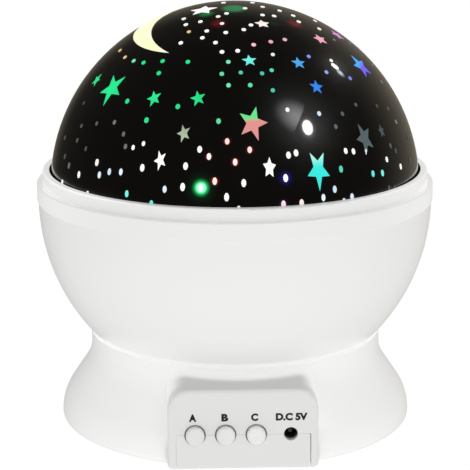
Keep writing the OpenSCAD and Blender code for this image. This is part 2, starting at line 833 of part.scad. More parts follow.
// A lead socket: an open box with a keyway at the back and two pins
module lead_socket() {
    difference() {
        block(socket_size, [0, 0, 0]);
        block(socket_size - 2 * [socket_wall, socket_wall, 0], [0, 0, socket_wall]);
        block([socket_size[0] / 2, socket_size[1] / 2, big], [0, socket_size[1] / 2, 2 * socket_wall]);
    }
    for (s = [-1, 1]) translate([s * socket_pitch / 2, 0, socket_wall / 2])
        cylinder(r = socket_pin_r, h = socket_size[2] - 2 * socket_wall);
}

module board_sockets() color("ivory") {
    for (x = socket_x) translate([x, socket_y, board_top]) lead_socket();
}

// A push button: cap, flange behind the face and the stem that works its switch
module push_button(x) {
    cap_l = button_proud + base_wall + 0.3;
    crown = 0.5;
    translate([x, -block_y - button_proud, control_z]) rotate([-90, 0, 0]) {
        cylinder(r1 = button_r - crown, r2 = button_r, h = crown);
        translate([0, 0, crown]) cylinder(r = button_r, h = cap_l - crown + eps);
        translate([0, 0, cap_l]) cylinder(r = button_flange_r, h = button_flange_t);
        translate([0, 0, cap_l + button_flange_t - eps]) cylinder(r = stem_r, h = stem_l);
    }
}

module button_a() color(white) push_button(button_x[0]);
module button_b() color(white) push_button(button_x[1]);
module button_c() color(white) push_button(button_x[2]);

// ---------------------------------------------------------------- drive

module gear_motor() color(steel) {
    difference() {
        union() {
            translate([0, motor_y, motor_base]) cylinder(r = motor_d / 2, h = motor_top - motor_base);
            translate([0, centre_distance, motor_top - eps]) cylinder(r = motor_nose_r, h = motor_nose_h);
            for (s = [-1, 1]) translate([s * motor_ear_x, motor_y, motor_top - motor_ear_t])
                cylinder(r = motor_ear_r, h = motor_ear_t);
            block([2 * motor_ear_x, 2 * motor_ear_r, motor_ear_t], [0, motor_y, motor_top - motor_ear_t]);
        }
        translate([0, centre_distance, motor_top - shaft_seat])
            cylinder(r = shaft_r + shaft_gap, h = shaft_seat + motor_nose_h + 1);
        for (s = [-1, 1]) translate([s * motor_ear_x, motor_y, 0])
            cylinder(r = small_hole_r + 0.2, h = motor_top + 1);
    }
}

// The cap on the can's side where the coils' leads come out
module motor_cap() color(white) {
    out = motor_d / 2 + motor_cap_out;
    difference() {
        translate([0, motor_y - motor_cap_w / 2, motor_base + motor_cap_lift])
            cube([out, motor_cap_w, motor_cap_h]);
        translate([0, motor_y, 0]) cylinder(r = motor_d / 2 + seat_gap / 2, h = big);
    }
}

module motor_screws() color(steel) {
    for (s = [-1, 1]) translate([s * motor_ear_x, motor_y, motor_top - motor_ear_t]) mirror([0, 0, 1])
        screw(small_screw_r, small_head_r, small_head_h, motor_ear_t + deck_z - motor_top + deck_t - 0.8);
}

module motor_shaft() color(steel) {
    base = motor_top - shaft_seat + seat_gap;
    translate([0, centre_distance, base]) cylinder(r = shaft_r, h = pinion_z + pinion_t - base);
}

module drive_pinion() color("ivory") {
    translate([0, centre_distance, 0]) difference() {
        union() {
            translate([0, 0, pinion_z]) rotate([0, 0, 180 / pinion_teeth - 90])
                linear_extrude(height = pinion_t) spur_gear(pinion_teeth, gear_shift);
            translate([0, 0, pinion_hub_z]) cylinder(r = pinion_hub_r, h = pinion_z - pinion_hub_z + eps);
        }
        translate([0, 0, pinion_hub_z - 1]) cylinder(r = shaft_r, h = big / 4);
    }
}

module drive_gear() color("ivory") {
    difference() {
        translate([0, 0, gear_z]) rotate([0, 0, 90])
            linear_extrude(height = gear_t) spur_gear(gear_teeth, -gear_shift);
        translate([0, 0, gear_z - 1]) cylinder(r = gear_bore_r, h = gear_t + 2);
        for (a = gear_screw_angles) rotate([0, 0, a]) translate([gear_screw_ring, 0, gear_z + gear_screw_stop])
            cylinder(r = small_hole_r, h = gear_t);
    }
}

module gear_screws() color(steel) {
    for (a = gear_screw_angles) rotate([0, 0, a]) translate([gear_screw_ring, 0, bowl_floor_top])
        screw(small_screw_r, small_head_r, small_head_h, bowl_floor_t + gear_t - gear_screw_stop - 0.4);
}

// ---------------------------------------------------------------- lamp

module lamp_post() color(white) {
    difference() {
        union() {
            translate([0, 0, deck_top]) cylinder(r = post_flange_r, h = post_flange_t);
            translate([0, 0, deck_top]) cylinder(r = post_shoulder_r, h = shoulder_z - deck_top);
            translate([0, 0, deck_top]) cylinder(r = journal_r, h = journal_end - deck_top);
            translate([0, 0, deck_top]) cylinder(r = post_d / 2, h = board_z - deck_top);
            translate([0, 0, board_z - post_top_flange_t]) cylinder(r = post_top_flange_r, h = post_top_flange_t);
            translate([0, 0, board_z - post_top_flange_t - post_top_flange_w])
                cylinder(r1 = post_d / 2, r2 = post_top_flange_r, h = post_top_flange_w + eps);
        }
        translate([0, 0, deck_top - 1]) cylinder(r = post_bore_d / 2, h = board_z);
        ring(journal_r + 1, clip_groove_r, clip_t + 0.1, clip_z - 0.05);
        for (a = post_screw_angles) rotate([0, 0, a]) translate([post_screw_ring, 0, deck_top - 1])
            cylinder(r = small_hole_r + 0.2, h = post_flange_t + 2);
        for (s = [-1, 1]) translate([s * lamp_board_screw_x, 0, board_z - thread_l - 0.5])
            cylinder(r = small_hole_r, h = thread_l + 1);
    }
}

module post_screws() color(steel) {
    for (a = post_screw_angles) rotate([0, 0, a]) translate([post_screw_ring, 0, deck_top + post_flange_t])
        screw(small_screw_r, small_head_r, small_head_h, post_flange_t + deck_t + seat_gap);
}

module thrust_washer() color("ivory") {
    ring(post_shoulder_r - 0.2, journal_r + 0.1, washer_t, shoulder_z);
}

module hub_clip() color([0.2, 0.2, 0.21]) {
    difference() {
        ring(journal_r + clip_w, clip_groove_r + 0.05, clip_t, clip_z);
        translate([0, 0, clip_z - 1]) linear_extrude(height = clip_t + 2)
            polygon([[0, 0], [clip_mouth, -0.7 * clip_mouth], [clip_mouth, 0.7 * clip_mouth]]);
    }
}

module lamp_board() color("darkgreen") {
    difference() {
        translate([0, 0, board_z]) cylinder(r = lamp_board_d / 2, h = board_t);
        for (s = [-1, 1]) translate([s * lamp_board_screw_x, 0, board_z - 1])
            cylinder(r = small_hole_r + 0.2, h = board_t + 2);
        translate([0, 0, board_z - 1]) cylinder(r = lead_hole_r, h = board_t + 2);
    }
}

module lamp_board_screws() color(steel) {
    for (s = [-1, 1]) translate([s * lamp_board_screw_x, 0, board_z + board_t])
        screw(small_screw_r, small_head_r, small_head_h, board_t + thread_l);
}

// Round lamps with a domed top and a base rim, at the given places on the lamp board
module lamps(places) {
    for (p = places) translate([p[0], p[1], board_z + board_t]) {
        cylinder(r = lamp_d / 2 + lamp_rim_w, h = lamp_rim_h);
        cylinder(r = lamp_d / 2, h = lamp_h);
        intersection() {
            translate([0, 0, lamp_h]) sphere(r = lamp_d / 2);
            translate([0, 0, lamp_h - eps]) cylinder(r = lamp_d, h = lamp_d);
        }
    }
}

module lamp_white() color([0.95, 0.95, 0.85]) lamps(white_places);
module lamp_red() color([0.9, 0.15, 0.1]) lamps(red_places);
module lamp_green() color([0.1, 0.8, 0.3]) lamps(green_places);
module lamp_blue() color([0.1, 0.25, 0.95]) lamps(blue_places);

module lamp_resistors() color([0.15, 0.15, 0.16]) {
    for (p = resistor_places) block(resistor_size, [p[0], p[1], board_z + board_t]);
}

module lamp_socket() color("ivory") {
    translate([lamp_socket_place[0], lamp_socket_place[1], board_z + board_t]) lead_socket();
}

// ---------------------------------------------------------------- globe

module bowl() color(white) {
    difference() {
        union() {
            difference() {
                intersection() {
                    translate([0, 0, rim_z]) sphere(r = globe_r);
                    translate([0, 0, bowl_floor_z]) cylinder(r = globe_r + 1, h = rim_z - bowl_floor_z);
                }
                intersection() {
                    translate([0, 0, rim_z]) sphere(r = globe_r - bowl_wall);
                    translate([0, 0, bowl_floor_top]) cylinder(r = globe_r + 1, h = big);
                }
            }
            ring(globe_r - bowl_wall / 2, upstand_r - upstand_w, upstand_h, rim_z - upstand_h);
            ring(upstand_r, upstand_r - upstand_w, upstand_top - rim_z + eps, rim_z - eps);
            for (a = snap_angles) rotate([0, 0, a]) intersection() {
                ring(upstand_r + snap_out, upstand_r - 1, snap_h, rim_z + snap_lift);
                block([globe_r, snap_w, big], [globe_r, 0, 0]);
            }
            translate([0, 0, hub_z]) cylinder(r = hub_d / 2, h = hub_top - hub_z);
        }
        translate([0, 0, hub_z - 1]) cylinder(r = journal_r + journal_gap, h = hub_top);
        for (a = gear_screw_angles) rotate([0, 0, a]) translate([gear_screw_ring, 0, bowl_floor_z - 1])
            cylinder(r = small_hole_r + 0.2, h = bowl_floor_t + 2);
    }
}

module dome_ring() color(white) {
    e = ring_edge_r;
    difference() {
        rotate_extrude() difference() {
            union() {
                translate([pocket_r, rim_z + e]) square([ring_r - pocket_r, band_h - 2 * e]);
                translate([pocket_r, rim_z]) square([ring_r - e - pocket_r, band_h]);
                for (z = [rim_z + e, ring_ledge_z - e]) translate([ring_r - e, z]) circle(r = e);
                translate([ring_bore_r, dome_z + seat_gap]) square([lip_r - ring_bore_r, ring_top - e - dome_z - seat_gap]);
                translate([ring_bore_r, ring_top - e - eps]) square([lip_r - e - ring_bore_r, e + eps]);
                translate([lip_r - e, ring_top - e]) circle(r = e);
            }
            translate([0, rim_z - 1]) square([ring_bore_r, band_h + lip_h + 2]);
        }
        for (a = snap_angles) rotate([0, 0, a])
            block([upstand_r + snap_out + fit_gap, snap_w + 2 * fit_gap, snap_h + 2 * fit_gap],
                [(upstand_r + snap_out + fit_gap) / 2, 0, rim_z + snap_lift - fit_gap]);
    }
}

module star_dome() color([0.05, 0.05, 0.06]) {
    foot = dome_z - dome_wall;
    difference() {
        intersection() {
            translate([0, 0, dome_z]) sphere(r = dome_r);
            translate([0, 0, foot]) cylinder(r = dome_r + 1, h = dome_r + dome_wall + 1);
        }
        translate([0, 0, dome_z]) sphere(r = dome_r - dome_wall);
    }
    ring(dome_flange_r, dome_r - dome_wall / 2, dome_wall, foot);
}

base_shell();
bottom_cover();
foot_pads();
case_screws();
battery_cells();
battery_springs();
battery_contacts();
battery_door();
door_screw();
control_board();
board_screws();
board_chip();
board_capacitor();
board_sockets();
tact_switches();
inlet_jack();
inlet_pin();
button_a();
button_b();
button_c();
gear_motor();
motor_cap();
motor_screws();
motor_shaft();
drive_pinion();
lamp_post();
post_screws();
thrust_washer();
hub_clip();
lamp_board();
lamp_board_screws();
lamp_resistors();
lamp_socket();
lamp_white();
lamp_red();
lamp_green();
lamp_blue();
bowl();
drive_gear();
gear_screws();
dome_ring();
star_dome();
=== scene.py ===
"""Dresses a star night light: plastics, lit shapes on the dome, lettering and a soft studio."""

from __future__ import annotations

import json
import logging
import math
import random
from dataclasses import dataclass, field, replace
from enum import Enum
from typing import Iterable, Sequence

import bmesh
import bpy
from mathutils import Matrix, Vector


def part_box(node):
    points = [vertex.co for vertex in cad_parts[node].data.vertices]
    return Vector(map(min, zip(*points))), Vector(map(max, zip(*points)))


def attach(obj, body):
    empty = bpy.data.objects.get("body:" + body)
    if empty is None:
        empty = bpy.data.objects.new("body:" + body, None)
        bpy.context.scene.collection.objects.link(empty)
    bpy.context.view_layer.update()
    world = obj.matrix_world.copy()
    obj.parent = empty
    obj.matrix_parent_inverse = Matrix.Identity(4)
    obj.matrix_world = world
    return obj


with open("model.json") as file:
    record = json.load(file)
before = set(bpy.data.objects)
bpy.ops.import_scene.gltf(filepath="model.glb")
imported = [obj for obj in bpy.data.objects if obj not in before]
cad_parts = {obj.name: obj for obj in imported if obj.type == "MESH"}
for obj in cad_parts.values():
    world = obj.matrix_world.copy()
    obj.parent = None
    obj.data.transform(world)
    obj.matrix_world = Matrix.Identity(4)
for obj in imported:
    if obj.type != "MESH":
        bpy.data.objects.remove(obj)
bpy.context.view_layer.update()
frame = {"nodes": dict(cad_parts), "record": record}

LOG = logging.getLogger("night_light")
MM = 0.001
Colour = tuple[float, float, float, float]
Point = tuple[float, float]
Socket = bpy.types.NodeSocket


def tone(red: int, green: int, blue: int) -> Colour:
    """Turns a screen colour into the linear colour that shaders use.

    Args:
        red: Red from 0 to 255.
        green: Green from 0 to 255.
        blue: Blue from 0 to 255.

    Returns:
        Linear red, green, blue and an alpha of 1.
    """
    def linear(value: int) -> float:
        """Undoes the screen's gamma for one channel."""
        part = value / 255
        return part / 12.92 if part <= 0.04045 else ((part + 0.055) / 1.055) ** 2.4

    return (linear(red), linear(green), linear(blue), 1.0)


def grey(value: float) -> Colour:
    """Gives a linear grey of the stated value."""
    return (value, value, value, 1.0)


def heading(azimuth: float, elevation: float) -> Vector:
    """Gives the direction at an azimuth from the front towards +X and an elevation, in degrees."""
    a, e = math.radians(azimuth), math.radians(elevation)
    return Vector((math.sin(a) * math.cos(e), -math.cos(a) * math.cos(e), math.sin(e)))


WHITE = grey(1.0)


# ---------------------------------------------------------------- node trees


class Tree:
    """A node tree whose nodes are added one by one."""

    def __init__(self, tree: bpy.types.NodeTree) -> None:
        """Takes over Blender's tree and empties it."""
        tree.nodes.clear()
        self.tree = tree

    def add(self, kind: str, **settings: object) -> bpy.types.Node:
        """Adds a node.

        Args:
            kind: Blender's name of the node.
            **settings: Properties set on the node.

        Returns:
            The new node.
        """
        node = self.tree.nodes.new(kind)
        for name, value in settings.items():
            setattr(node, name, value)
        return node

    def feed(self, node: bpy.types.Node, *values: object, **named: object) -> bpy.types.Node:
        """Links sockets to a node's inputs and sets plain values on them.

        Args:
            node: The node.
            *values: Sockets or values of its inputs in their order. None leaves an input as it is.
            **named: Sockets or values by the input's name, with underscores for spaces.

        Returns:
            The node.
        """
        ports = [*zip([port for port in node.inputs if port.enabled], values)]
        ports += [(node.inputs[name.replace("_", " ")], value) for name, value in named.items()]
        for port, value in ports:
            if isinstance(value, Socket):
                self.tree.links.new(value, port)
            elif value is not None:
                port.default_value = value
        return node

    def value(self, kind: str, *values: object, **settings: object) -> Socket:
        """Adds a node, feeds its inputs in their order and gives its first output.

        Args:
            kind: Blender's name of the node.
            *values: Sockets or values of its inputs.
            **settings: Properties set on the node.

        Returns:
            The first output that is in use.
        """
        node = self.feed(self.add(kind, **settings), *values)
        return next(port for port in node.outputs if port.enabled)

    def math(self, operation: str, *values: object) -> Socket:
        """Works out one sum, named as Blender names it, on sockets or numbers."""
        return self.value("ShaderNodeMath", *values, operation=operation)

    def vector(self, operation: str, *values: object) -> Socket:
        """Works out one sum, named as Blender names it, on vectors."""
        return self.value("ShaderNodeVectorMath", *values, operation=operation)

    def parts(self, vector: Socket) -> tuple[Socket, ...]:
        """Splits a vector into X, Y and Z."""
        return tuple(self.feed(self.add("ShaderNodeSeparateXYZ"), vector).outputs)

    def remap(self, source: Socket, start: float, end: float, low: float = 0.0, high: float = 1.0,
              soft: bool = True) -> Socket:
        """Maps one range on to another and holds the result beyond both ends.

        Args:
            source: Socket to map.
            start: Value that becomes low. It may be the greater end.
            end: Value that becomes high.
            low: Result at the start.
            high: Result at the end.
            soft: Whether the result leaves both ends softly.

        Returns:
            The result's socket.
        """
        if start > end:
            start, end, low, high = end, start, high, low
        return self.value("ShaderNodeMapRange", source, start, end, low, high,
                          interpolation_type="SMOOTHSTEP" if soft else "LINEAR")


class ShaderTree(Tree):
    """A material with a Principled shader at its end and the object's own place at its start.

    Attributes:
        usual_noise: Range that a noise mostly stays in.
    """

    usual_noise = (0.3, 0.7)

    def __init__(self, name: str) -> None:
        """Makes the material and its shader.

        Args:
            name: Name of the material.
        """
        self.material = bpy.data.materials.new(name)
        self.material.use_nodes = True
        super().__init__(self.material.node_tree)
        self.shader = self.add("ShaderNodeBsdfPrincipled")
        self.feed(self.add("ShaderNodeOutputMaterial"), self.shader.outputs["BSDF"])
        self.place = self.add("ShaderNodeTexCoord").outputs["Object"]

    def set(self, **values: object) -> None:
        """Feeds the shader's inputs by name, with underscores for spaces."""
        self.feed(self.shader, **values)

    def noise(self, scale: float, detail: float = 2.0,
              squeeze: Sequence[float] = (1, 1, 1)) -> Socket:
        """Adds a noise over the object's own place.

        Args:
            scale: Patches per metre.
            detail: Octaves of the noise.
            squeeze: Factors on X, Y and Z that stretch the patches.

        Returns:
            The noise's value socket.
        """
        place = self.value("ShaderNodeMapping", self.place, None, None, squeeze)
        return self.value("ShaderNodeTexNoise", place, scale, detail)

    def spread(self, noise: Socket, low: float = 0.0, high: float = 1.0) -> Socket:
        """Maps a noise from its usual range on to another, softly."""
        return self.remap(noise, *self.usual_noise, low, high)

    def blend(self, factor: Socket, first: object, second: object, **settings: object) -> Socket:
        """Mixes two colours.

        Args:
            factor: Socket that gives the share of the second colour.
            first: Colour or socket at 0.
            second: Colour or socket at 1.
            **settings: Properties of the mix.

        Returns:
            The mixed colour's socket.
        """
        return self.value("ShaderNodeMix", factor, first, second, data_type="RGBA", **settings)

    def relief(self, height: Socket, depth: float, strength: float = 1.0) -> None:
        """Gives the surface a fine relief.

        Args:
            height: Socket with the height from 0 to 1.
            depth: Depth of the relief in metres.
            strength: Share of the relief that shows.
        """
        bump = self.add("ShaderNodeBump")
        self.feed(bump, Strength=strength, Distance=depth, Height=height)
        self.set(Normal=bump.outputs["Normal"])


class GeometryTree(Tree):
    """A Geometry Nodes tree with named inputs, run on one object and turned into a plain mesh."""

    def __init__(self, name: str) -> None:
        """Makes an empty tree that takes and gives geometry.

        Args:
            name: Name of the tree.
        """
        super().__init__(bpy.data.node_groups.new(name, "GeometryNodeTree"))
        for way in ("INPUT", "OUTPUT"):
            self.tree.interface.new_socket("Geometry", in_out=way, socket_type="NodeSocketGeometry")
        self.sockets: dict[str, str] = {}
        self.source = self.add("NodeGroupInput")
        self.target = self.add("NodeGroupOutput")

    def number(self, name: str, kind: str = "NodeSocketFloat") -> Socket:
        """Adds a named input.

        Args:
            name: Name of the input.
            kind: Blender's name of the socket's type.

        Returns:
            The input's socket inside the tree.
        """
        made = self.tree.interface.new_socket(name, in_out="INPUT", socket_type=kind)
        self.sockets[name] = made.identifier
        return self.source.outputs[name]

    def attribute(self, name: str, kind: str = "FLOAT") -> Socket:
        """Reads a named attribute of Blender's stated data type."""
        return self.value("GeometryNodeInputNamedAttribute", name, data_type=kind)

    def attach(self, thing: bpy.types.Object, **values: object) -> None:
        """Puts the tree on an object as a modifier.

        Args:
            thing: Object that carries the modifier.
            **values: The tree's inputs by name.
        """
        modifier = thing.modifiers.new(self.tree.name, "NODES")
        modifier.node_group = self.tree
        for name, value in values.items():
            modifier[self.sockets[name]] = value


def add_object(name: str, data: bpy.types.ID) -> bpy.types.Object:
    """Links a mesh, a curve, a lamp or a camera into the scene as a new object at the origin.

    Args:
        name: Name of the object.
        data: What the object shows.

    Returns:
        The object.
    """
    thing = bpy.data.objects.new(name, data)
    bpy.context.collection.objects.link(thing)
    return thing


def settled(thing: bpy.types.Object, name: str) -> bpy.types.Object:
    """Turns an object and its modifiers into a plain mesh object.

    Args:
        thing: Object whose evaluated shape is wanted. It is removed.
        name: Name of the new object.

    Returns:
        The new object, at the origin.
    """
    graph = bpy.context.evaluated_depsgraph_get()
    mesh = bpy.data.meshes.new_from_object(thing.evaluated_get(graph), depsgraph=graph)
    mesh.name = name
    bpy.data.objects.remove(thing, do_unlink=True)
    return add_object(name, mesh)


def dress(node: str, material: bpy.types.Material) -> None:
    """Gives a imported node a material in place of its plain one.

    Args:
        node: Name of the node.
        material: The material.
    """
    slots = frame["nodes"][node].material_slots
    if not slots:
        frame["nodes"][node].data.materials.append(material)
    for place in slots:
        place.material = material


# ---------------------------------------------------------------- finishes


class Finish:
    """A surface that can be built as a material."""

    def material(self, name: str) -> bpy.types.Material:
        """Builds the material.

        Args:
            name: Name of the material.

        Returns:
            The material.
        """
        tree = ShaderTree(name)
        self.paint(tree)
        return tree.material

    def paint(self, tree: ShaderTree) -> None:
        """Feeds the shader of the material's tree."""
        raise NotImplementedError


@dataclass(frozen=True)
class Moulding(Finish):
    """A moulded plastic with a faint flow pattern, a soft skin relief and light handling marks.

    Attributes:
        colour: Its colour.
        shade: Its colour in the darker parts of the flow pattern.
        roughness: Least and most roughness.
        grain: Patches of the skin relief per metre.
        relief: Depth of the skin relief in metres.
        gloss: Strength of the mirrored light.
        flow: Patches of the flow pattern per metre.
        marks: Handling marks per metre.
    """

    colour: Colour
    shade: Colour
    roughness: tuple[float, float]
    grain: float
    relief: float
    gloss: float = 0.5
    flow: float = 28.0
    marks: float = 160.0

    def paint(self, tree: ShaderTree) -> None:
        """Feeds the shader.

        Args:
            tree: The material's tree.
        """
        flow = tree.spread(tree.noise(self.flow, 3.0))
        marks = tree.noise(self.marks, 4.0, (1, 1, 2.5))
        tree.set(Base_Color=tree.blend(flow, self.colour, self.shade),
                 Roughness=tree.spread(marks, *self.roughness), Specular_IOR_Level=self.gloss)
        tree.relief(tree.noise(self.grain), self.relief)


class Along(Enum):
    """Directions that a zone of a shell is bounded in."""

    ASIDE = "away from the middle plane"
    AHEAD = "from the front to the back"
    HEIGHT = "above the table"
    REACH = "away from the axis"


@dataclass(frozen=True)
class PaintedShadingZone:
    """A part of a shell with painted shade or painted light: a colour and a painted glow of its
    own.

    Attributes:
        colour: Colour of the shell there.
        glow: Brightness of the painted glow there.
        edges: Edges of the zone: a direction, and the places in metres where the zone fades in,
            or fades out where the second place is the smaller.
    """

    colour: Colour
    glow: float
    edges: tuple[tuple[Along, float, float], ...]

    def share(self, tree: Tree, places: dict[Along, Socket]) -> Socket:
        """Builds the zone's share of the surface.

        Args:
            tree: The material's tree.
            places: The surface's place along each direction.

        Returns:
            Socket that is 1 in the zone and 0 outside.
        """
        share: object = 1.0
        for along, start, end in self.edges:
            share = tree.math("MULTIPLY", tree.remap(places[along], start, end), share)
        return share


@dataclass(frozen=True)
class PaintedGlowShell(Finish):
    """A white moulded shell with a painted glow: an even light of its own that lightens its shade
    and its gaps.

    Attributes:
        colour: Its colour.
        shade: Its colour in the darker parts of the flow pattern.
        front_colour: Its colour in front of the part with the full painted glow.
        glow: Brightness of the painted glow.
        front_painted_glow: Brightness of the painted glow in front.
        front: Place along Y where the front ends, and where the full painted glow starts, in
            metres.
        front_half: Half the width of the front, in metres.
        zones: Parts with painted shade or painted light: their own colour and painted glow.
        seam_radius: Radius within which more painted glow lightens the shade at the shell's seam,
            in metres.
        seam_painted_glow: Brightness of the painted glow that the seam adds.
        roughness: Least and most roughness.
        flow: Patches of the flow pattern per metre.
        polish: Patches of more or less roughness per metre.
        grain: Patches of the skin relief per metre.
        relief: Depth of the skin relief in metres.
    """

    colour: Colour
    shade: Colour
    front_colour: Colour
    glow: float
    front_painted_glow: float
    front: tuple[float, float]
    front_half: float
    zones: tuple[PaintedShadingZone, ...] = ()
    seam_radius: float = 45.9 * MM
    seam_painted_glow: float = 0.07
    roughness: tuple[float, float] = (0.285, 0.305)
    flow: float = 20.0
    polish: float = 90.0
    grain: float = 240.0
    relief: float = 0.004 * MM

    def paint(self, tree: ShaderTree) -> None:
        """Feeds the shader.

        Args:
            tree: The material's tree.
        """
        across, ahead, height = tree.parts(tree.place)
        aside = tree.math("ABSOLUTE", across)
        squares = [tree.math("MULTIPLY", side, side) for side in (aside, ahead)]
        reach = tree.math("SQRT", tree.math("ADD", *squares))
        places = {Along.ASIDE: aside, Along.AHEAD: ahead, Along.HEIGHT: height, Along.REACH: reach}
        # Painted glow: the shell gives off an even light of its own, weaker in front; lit is the
        # share of its full strength.
        lit = tree.math("MAXIMUM", tree.remap(ahead, *self.front),
                        tree.remap(aside, self.front_half, self.front_half + MM))
        flow = tree.blend(tree.spread(tree.noise(self.flow)), self.colour, self.shade)
        colour = tree.blend(lit, self.front_colour, flow)
        glow = tree.math("MULTIPLY_ADD", lit, self.glow - self.front_painted_glow, self.front_painted_glow)
        # Painted light at the seam: more painted glow inside the seam's radius lightens the shaded
        # gap there.
        inside = tree.math("LESS_THAN", reach, self.seam_radius)
        glow = tree.math("MULTIPLY_ADD", inside, self.seam_painted_glow, glow)
        # Zones of painted shade and painted light replace the colour and the painted glow.
        for zone in self.zones:
            share = zone.share(tree, places)
            colour = tree.blend(share, colour, zone.colour)
            rest = tree.math("MULTIPLY", glow, tree.math("SUBTRACT", 1.0, share))
            glow = tree.math("MULTIPLY_ADD", share, zone.glow, rest)
        polish = tree.spread(tree.noise(self.polish), *self.roughness)
        tree.set(Base_Color=colour, Emission_Color=WHITE, Emission_Strength=glow, Roughness=polish)
        tree.relief(tree.noise(self.grain, 1.0), self.relief)


@dataclass(frozen=True)
class Steel(Finish):
    """A bright metal with fine drawing lines along one direction.

    Attributes:
        colour: Its colour.
        shade: Its colour in the lines.
        squeeze: Factors on X, Y and Z that stretch the lines.
        roughness: Least and most roughness.
        lines: Lines per metre.
        relief: Depth of the lines in metres.
    """

    colour: Colour
    shade: Colour
    squeeze: tuple[float, float, float] = (1, 1, 14)
    roughness: tuple[float, float] = (0.18, 0.38)
    lines: float = 700.0
    relief: float = 0.004 * MM

    def paint(self, tree: ShaderTree) -> None:
        """Feeds the shader.

        Args:
            tree: The material's tree.
        """
        lines = tree.noise(self.lines, 3.0, self.squeeze)
        tree.set(Base_Color=tree.blend(tree.spread(lines), self.colour, self.shade),
                 Roughness=tree.spread(lines, *self.roughness), Metallic=1.0)
        tree.relief(lines, self.relief)


@dataclass(frozen=True)
class CircuitBoard(Finish):
    """A lacquered board with the pale trace pattern showing through.

    Attributes:
        mask: Colour of the lacquer.
        trace: Colour of the traces.
        pitch: Spacing of the traces in metres.
        roughness: Least and most roughness.
        relief: Height of the traces in metres.
    """

    mask: Colour
    trace: Colour
    pitch: float = 2.5 * MM
    roughness: tuple[float, float] = (0.25, 0.4)
    relief: float = 0.03 * MM

    def paint(self, tree: ShaderTree) -> None:
        """Feeds the shader.

        Args:
            tree: The material's tree.
        """
        bricks = tree.add("ShaderNodeTexBrick")
        tree.feed(bricks, tree.place, Scale=1 / self.pitch, Mortar_Size=0.06, Mortar_Smooth=0.2)
        rows = bricks.outputs["Fac"]
        traces = tree.math("MULTIPLY", rows, tree.spread(tree.noise(260.0)))
        tree.set(Base_Color=tree.blend(traces, self.mask, self.trace),
                 Roughness=tree.spread(tree.noise(500.0), *self.roughness))
        tree.relief(rows, self.relief)


@dataclass(frozen=True)
class CellJacket(Finish):
    """A printed foil jacket: a dark body with a warm band at the ends.

    Attributes:
        body: Colour of the body.
        band: Colour of the band.
        band_from: Distance of the band from the middle plane, in metres.
        roughness: Least and most roughness.
    """

    body: Colour
    band: Colour
    band_from: float = 12 * MM
    roughness: tuple[float, float] = (0.2, 0.35)

    def paint(self, tree: ShaderTree) -> None:
        """Feeds the shader.

        Args:
            tree: The material's tree.
        """
        far = tree.math("ABSOLUTE", tree.parts(tree.place)[0])
        ends = tree.math("GREATER_THAN", far, self.band_from)
        tree.set(Base_Color=tree.blend(ends, self.body, self.band),
                 Roughness=tree.spread(tree.noise(300.0), *self.roughness), Metallic=0.6)


@dataclass(frozen=True)
class Resin(Finish):
    """The tinted resin of a lamp, lit from inside.

    Attributes:
        colour: Its colour.
        glow: Brightness of its light.
        pale: Its colour where the resin is clearest.
    """

    colour: Colour
    glow: float = 1.5
    pale: Colour = grey(0.9)

    def paint(self, tree: ShaderTree) -> None:
        """Feeds the shader.

        Args:
            tree: The material's tree.
        """
        tree.set(Base_Color=tree.blend(tree.spread(tree.noise(400.0)), self.colour, self.pale),
                 Roughness=0.08, Coat_Weight=0.5, Emission_Color=self.colour,
                 Emission_Strength=self.glow)


@dataclass(frozen=True)
class Glow:
    """A soft spot of lamp light that shows through the dark film.

    Attributes:
        azimuth: Place round the dome in degrees, from the front towards +X.
        elevation: Height on the dome in degrees.
        radius: Reach in millimetres.
        colour: Colour of the light.
        strength: Brightness at the middle.
        core: Radius of the even middle in millimetres.
        fade: How steeply the light fades outside the middle.
    """

    azimuth: float
    elevation: float
    radius: float
    colour: Colour
    strength: float
    core: float = 0.0
    fade: float = 2.0

    def added(self, tree: ShaderTree, skin: DomeSkin, light: object) -> Socket:
        """Adds the spot to the light so far.

        Args:
            tree: The material's tree.
            skin: The dome's outside.
            light: Colour or socket of the light so far.

        Returns:
            Socket of the light with the spot added.
        """
        middle = skin.point((self.azimuth, self.elevation))
        distance = tree.vector("DISTANCE", tree.place, middle)
        near = tree.remap(distance, self.core * MM, self.radius * MM, 1.0, 0.0, soft=False)
        share = tree.math("MULTIPLY", tree.math("POWER", near, self.fade), self.strength)
        return tree.blend(share, light, self.colour, blend_type="ADD", clamp_factor=False)


@dataclass(frozen=True)
class DarkFilm(Finish):
    """The glossy black film of the dome, with spots where a lamp behind it shines through.

    Attributes:
        colour: Its colour.
        shade: Its colour in the lighter clouds.
        skin: The dome's outside, on which the spots are placed.
        glows: The spots.
        roughness: Least and most roughness under the coat.
        coat_roughness: Roughness of the coat.
        relief: Depth of the long ripples in metres.
    """

    colour: Colour
    shade: Colour
    skin: DomeSkin
    glows: tuple[Glow, ...]
    roughness: tuple[float, float] = (0.3, 0.38)
    coat_roughness: float = 0.045
    relief: float = 0.03 * MM

    def paint(self, tree: ShaderTree) -> None:
        """Feeds the shader.

        Args:
            tree: The material's tree.
        """
        cloud = tree.spread(tree.noise(22.0, 3.0))
        light: object = grey(0.0)
        for glow in self.glows:
            light = glow.added(tree, self.skin, light)
        tree.set(Base_Color=tree.blend(cloud, self.colour, self.shade), Specular_IOR_Level=0.22,
                 Roughness=tree.spread(tree.noise(60.0, 3.0), *self.roughness),
                 Coat_Weight=1.0, Coat_Roughness=self.coat_roughness, Coat_IOR=1.45,
                 Emission_Color=light, Emission_Strength=1.0)
        tree.relief(tree.noise(35.0, 1.0), self.relief, 0.5)


CLEAR = {"Base_Color": grey(0.02), "Roughness": 0.12}


